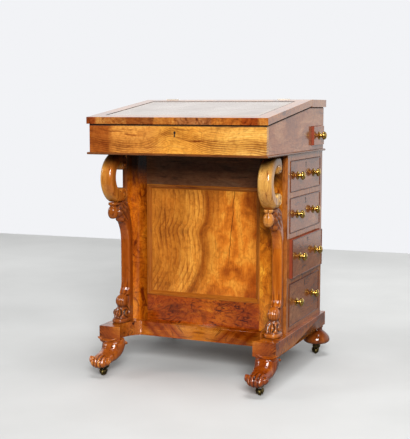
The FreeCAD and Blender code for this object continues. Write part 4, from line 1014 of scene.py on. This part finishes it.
# Ledge and lid: a flat shelf at the back and the sloping lid hinged to it, with a leather-lined field.
# Pine edged and cross-banded with walnut; short leaves of veneer meet along the front edge.
LID_LEAVES = [
    (0.0, "#b87850"), (0.06, "#b87850"), (0.075, "#e8c89c"), (0.235, "#e4c298"), (0.245, "#b98a64"),
    (0.385, "#b08060"), (0.395, "#f6d59b"), (0.5, "#f2cd94"), (0.53, "#d6b9ae"), (0.69, "#dcbfb4"),
    (0.705, "#efc183"), (0.84, "#eab97a"), (0.86, "#bc7448"), (0.93, "#bc7448"), (0.945, "#f3ce96"),
]
edge_walnut = walnut(
    "short leaves of walnut on the front edge of the lid", ("#ecd49c", "#d2a86c", "#8a5c34"), "Y", (80, 11),
    (60, 4), lines=1.3, burr=0.5, cloud=0.55, sway=50, shift=(0.9, 0.1, 0.2), leaves=LID_LEAVES, gloss=0.05,
)
banded_walnut = walnut(
    "cross-banded walnut on the lid and ledge", ("#c98c44", "#b27232", "#6e3a18"), "Y", (80, 14), (70, 7),
    lines=0.7, burr=0.3, cloud=0.5, shift=(0.2, 0.5, 0.1), gloss=0.05,
)
banded_walnut.node_tree.nodes["Principled BSDF"].inputs["Coat Weight"].default_value = 0.4
plain("back_ledge", "banded", 0.7, banded_walnut, shortest=60)
# dark old wax on the leather's last 3 mm, and painted shade on the walls of the sunk field; it mirrors
# nothing
old_wax_and_shade, tree, shader, place = surface("old wax and painted shade round the leather")
border_mottle = add(tree, "TexNoise", {"Vector": place, "Scale": 1 / 0.012, "Detail": 3.0})
stain(tree, 1.0, border_mottle, [(0.3, "#170c08"), (0.7, "#3a241a")])
shader["Roughness"].default_value = 0.7
shader["Specular IOR Level"].default_value = 0.0
leather_low, leather_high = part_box("leather_inset")
lid = soften(cad_copy("lid_frame"), 0.7, 60)
for face in lid.faces:
    middle = face.calc_center_median()
    within = abs(middle.x) < leather_high.x + MM and leather_low.y - MM < middle.y < leather_high.y + MM
    face.material_index = face.normal.y < -0.5
    # the walls of the sunk field round the leather are painted dark as shade
    if within and abs(face.normal.z) < 0.9:
        face.material_index = 2
piece("lid_frame_banded", lid, [banded_walnut, edge_walnut, old_wax_and_shade], "lid_frame")

# Leather: a thin skiver pasted into the lid's field, with a gilt line tooled round it.
# Brown goatskin, waxed and worn smooth, its grain still to be felt; old wax fills the last 3 mm at the wood.
leather, tree, shader, place = surface("waxed goatskin skiver")
pebble = add(tree, "TexVoronoi", {"Vector": place, "Scale": 1 / 0.0022}, out="Distance")
handled = add(tree, "TexNoise", {"Vector": place, "Scale": 1 / 0.07, "Detail": 4.0})
stain(tree, 1.0, handled, [(0.3, "#806a5b"), (0.5, "#8c7567"), (0.7, "#988172")])
centre = (0, (leather_low.y + leather_high.y) / 2, 0)
half = (leather_high - leather_low) / 2
around = add(tree, "VectorMath", [place, centre], operation="SUBTRACT")
around = add(tree, "VectorMath", [around], operation="ABSOLUTE")
inset = add(tree, "VectorMath", [tuple(half), around], operation="SUBTRACT")
sides = add(tree, "SeparateXYZ", [inset]).node.outputs
margin = add(tree, "Math", [sides["X"], sides["Y"]], operation="MINIMUM")
# the gilt line is 1.6 mm wide, 12 mm from the edge
stain(tree, add(tree, "Math", [margin, 0.012, 0.0008], operation="COMPARE"), "#c9a455")
rubbed = add(tree, "MapRange", [handled, 0.3, 0.7, 0.34, 0.24])
tree.links.new(rubbed, shader["Roughness"])
shader["Coat Weight"].default_value = 0.9
shader["Coat Roughness"].default_value = 0.14
grain = {"Height": pebble, "Strength": 0.06, "Distance": 0.0002}
tree.links.new(add(tree, "Bump", grain), shader["Normal"])
hide = cad_copy("leather_inset")
upper = [face for face in hide.faces if face.normal.z > 0.9]
corners = {vert for face in upper for vert in face.verts}
bmesh.ops.translate(hide, verts=list(corners), vec=(0, 0, -0.9 * MM))
for face in bmesh.ops.inset_region(hide, faces=upper, thickness=3 * MM, use_even_offset=True)["faces"]:
    face.material_index = 1
piece("leather_skiver", soften(hide, 0.3), [leather, old_wax_and_shade], "leather_inset")

# Hinges and lock of the lid: two butt hinges let into the seam, and a lock with its link plate.
# Brass castings, filed and polished, screwed into the wood.
# painted sheen: the brass is near white, as the bright sheen on the lid and ledge round it
pale_sheen_hinge_brass = brass("hinge brass painted pale as sheen", "#fbf4ea", "#efe4d4", 0.5, 0.5)
for fitting in ("hinge_fixed_leaves", "hinge_moving_leaves", "hinge_pins"):
    plain(fitting, "filed", 0.3, pale_sheen_hinge_brass, 5)
for fitting in ("lid_lock", "lock_link_plate"):
    plain(fitting, "filed", 0.3, lock_brass, 5)

# Studio: a pale polished concrete floor that ends at a white wall, three soft boxes and soft room light.
# The camera stands a little to the right of the desk, just above the lid.
concrete, tree, shader, place = surface("pale polished concrete")
mottle = add(tree, "TexNoise", {"Vector": place, "Scale": 1 / 0.4, "Detail": 5.0})
stain(tree, 1.0, mottle, [(0.3, "#eaebea"), (0.7, "#f4f5f4")])
depth = add(tree, "SeparateXYZ", [place], out="Y")
backwards = add(tree, "MapRange", [depth, -1.1, 1.9])
stain(tree, 1.0, backwards, [(0.0, "#cdcdcd"), (0.3, "#d4d4d4"), (0.5, "#d8d8d8"), (0.9, "#f8f8f8")])
# the wood mirrors and is lit by a duller floor than the one that is seen
ray = add(tree, "LightPath").node.outputs
onward = add(tree, "Math", [ray["Is Glossy Ray"], ray["Is Diffuse Ray"]], operation="MAXIMUM")
stain(tree, onward, "#848584")
shader["Roughness"].default_value = 0.65
shader["Specular IOR Level"].default_value = 0.2
floor_mesh = bpy.data.meshes.new("floor")
ground = bmesh.new()
floor_corners = ((-9, -1.15, 0), (9, -1.15, 0), (9, 3.27, 0), (-9, 1.85, 0))
ground.faces.new([ground.verts.new(corner) for corner in floor_corners])
ground.to_mesh(floor_mesh)
ground.free()
floor_mesh.materials.append(concrete)
floor = bpy.data.objects.new("floor", floor_mesh)
bpy.context.scene.collection.objects.link(floor)
floor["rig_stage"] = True

world = bpy.data.worlds.new("white room")
world.use_nodes = True
bpy.context.scene.world = world
tree = world.node_tree
ray = add(tree, "LightPath").node.outputs
outlook = add(tree, "SeparateXYZ", [add(tree, "TexCoord", out="Generated")]).node.outputs
# polished wood mirrors bright walls at the back and a dark ceiling
walls = add(tree, "MapRange", [outlook["Y"], -0.35, 0.45, 0.05, 1.0])
ceiling = add(tree, "MapRange", [outlook["Z"], 0.45, 0.75, 1.0, 0.12])
mirror = add(tree, "Math", [walls, ceiling], operation="MULTIPLY")
soft = add(tree, "MapRange", [outlook["Y"], -0.4, 0.6, 0.04, 0.26])
fill = add(tree, "MixRGB", [ray["Is Glossy Ray"], soft, mirror])
seen = add(tree, "Math", [ray["Is Camera Ray"], ray["Is Transmission Ray"]], operation="MAXIMUM")
wall = add(tree, "MixRGB", [seen, fill, linear("#f2f3f6")])
tree.links.new(wall, tree.nodes["Background"].inputs["Color"])


def lamp(name, place, aim, width, height, watts):
    """A soft box of that size in metres, turned to a point."""
    light = bpy.data.lights.new(name, "AREA")
    light.shape = "RECTANGLE"
    light.size, light.size_y = width, height
    light.energy = watts
    holder = bpy.data.objects.new(name, light)
    holder.location = place
    holder.rotation_euler = (Vector(aim) - Vector(place)).to_track_quat("-Z", "Y").to_euler()
    bpy.context.scene.collection.objects.link(holder)


lamp("key", (2.5, -4.7, 2.8), (0, -0.1, 0.45), 2.0, 2.0, 445)
lamp("side", (-4.8, -2.6, 2.4), (0, -0.1, 0.45), 1.4, 1.8, 75)
lamp("overhead", (0.9, -0.5, 6.5), (0.2, 0.6, 0), 3.0, 3.0, 255)

# the lens and the stand come from the straight edges of the desk in the photograph
eye = bpy.data.cameras.new("camera")
eye.sensor_width = 36
eye.lens = 78.61
camera = bpy.data.objects.new("camera", eye)
camera.location = (1.16346, -2.71717, 0.80640)
camera.rotation_euler = (math.radians(90 - 6.68), math.radians(-0.06), math.radians(23.65))
bpy.context.scene.collection.objects.link(camera)
bpy.context.scene.camera = camera

low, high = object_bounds()
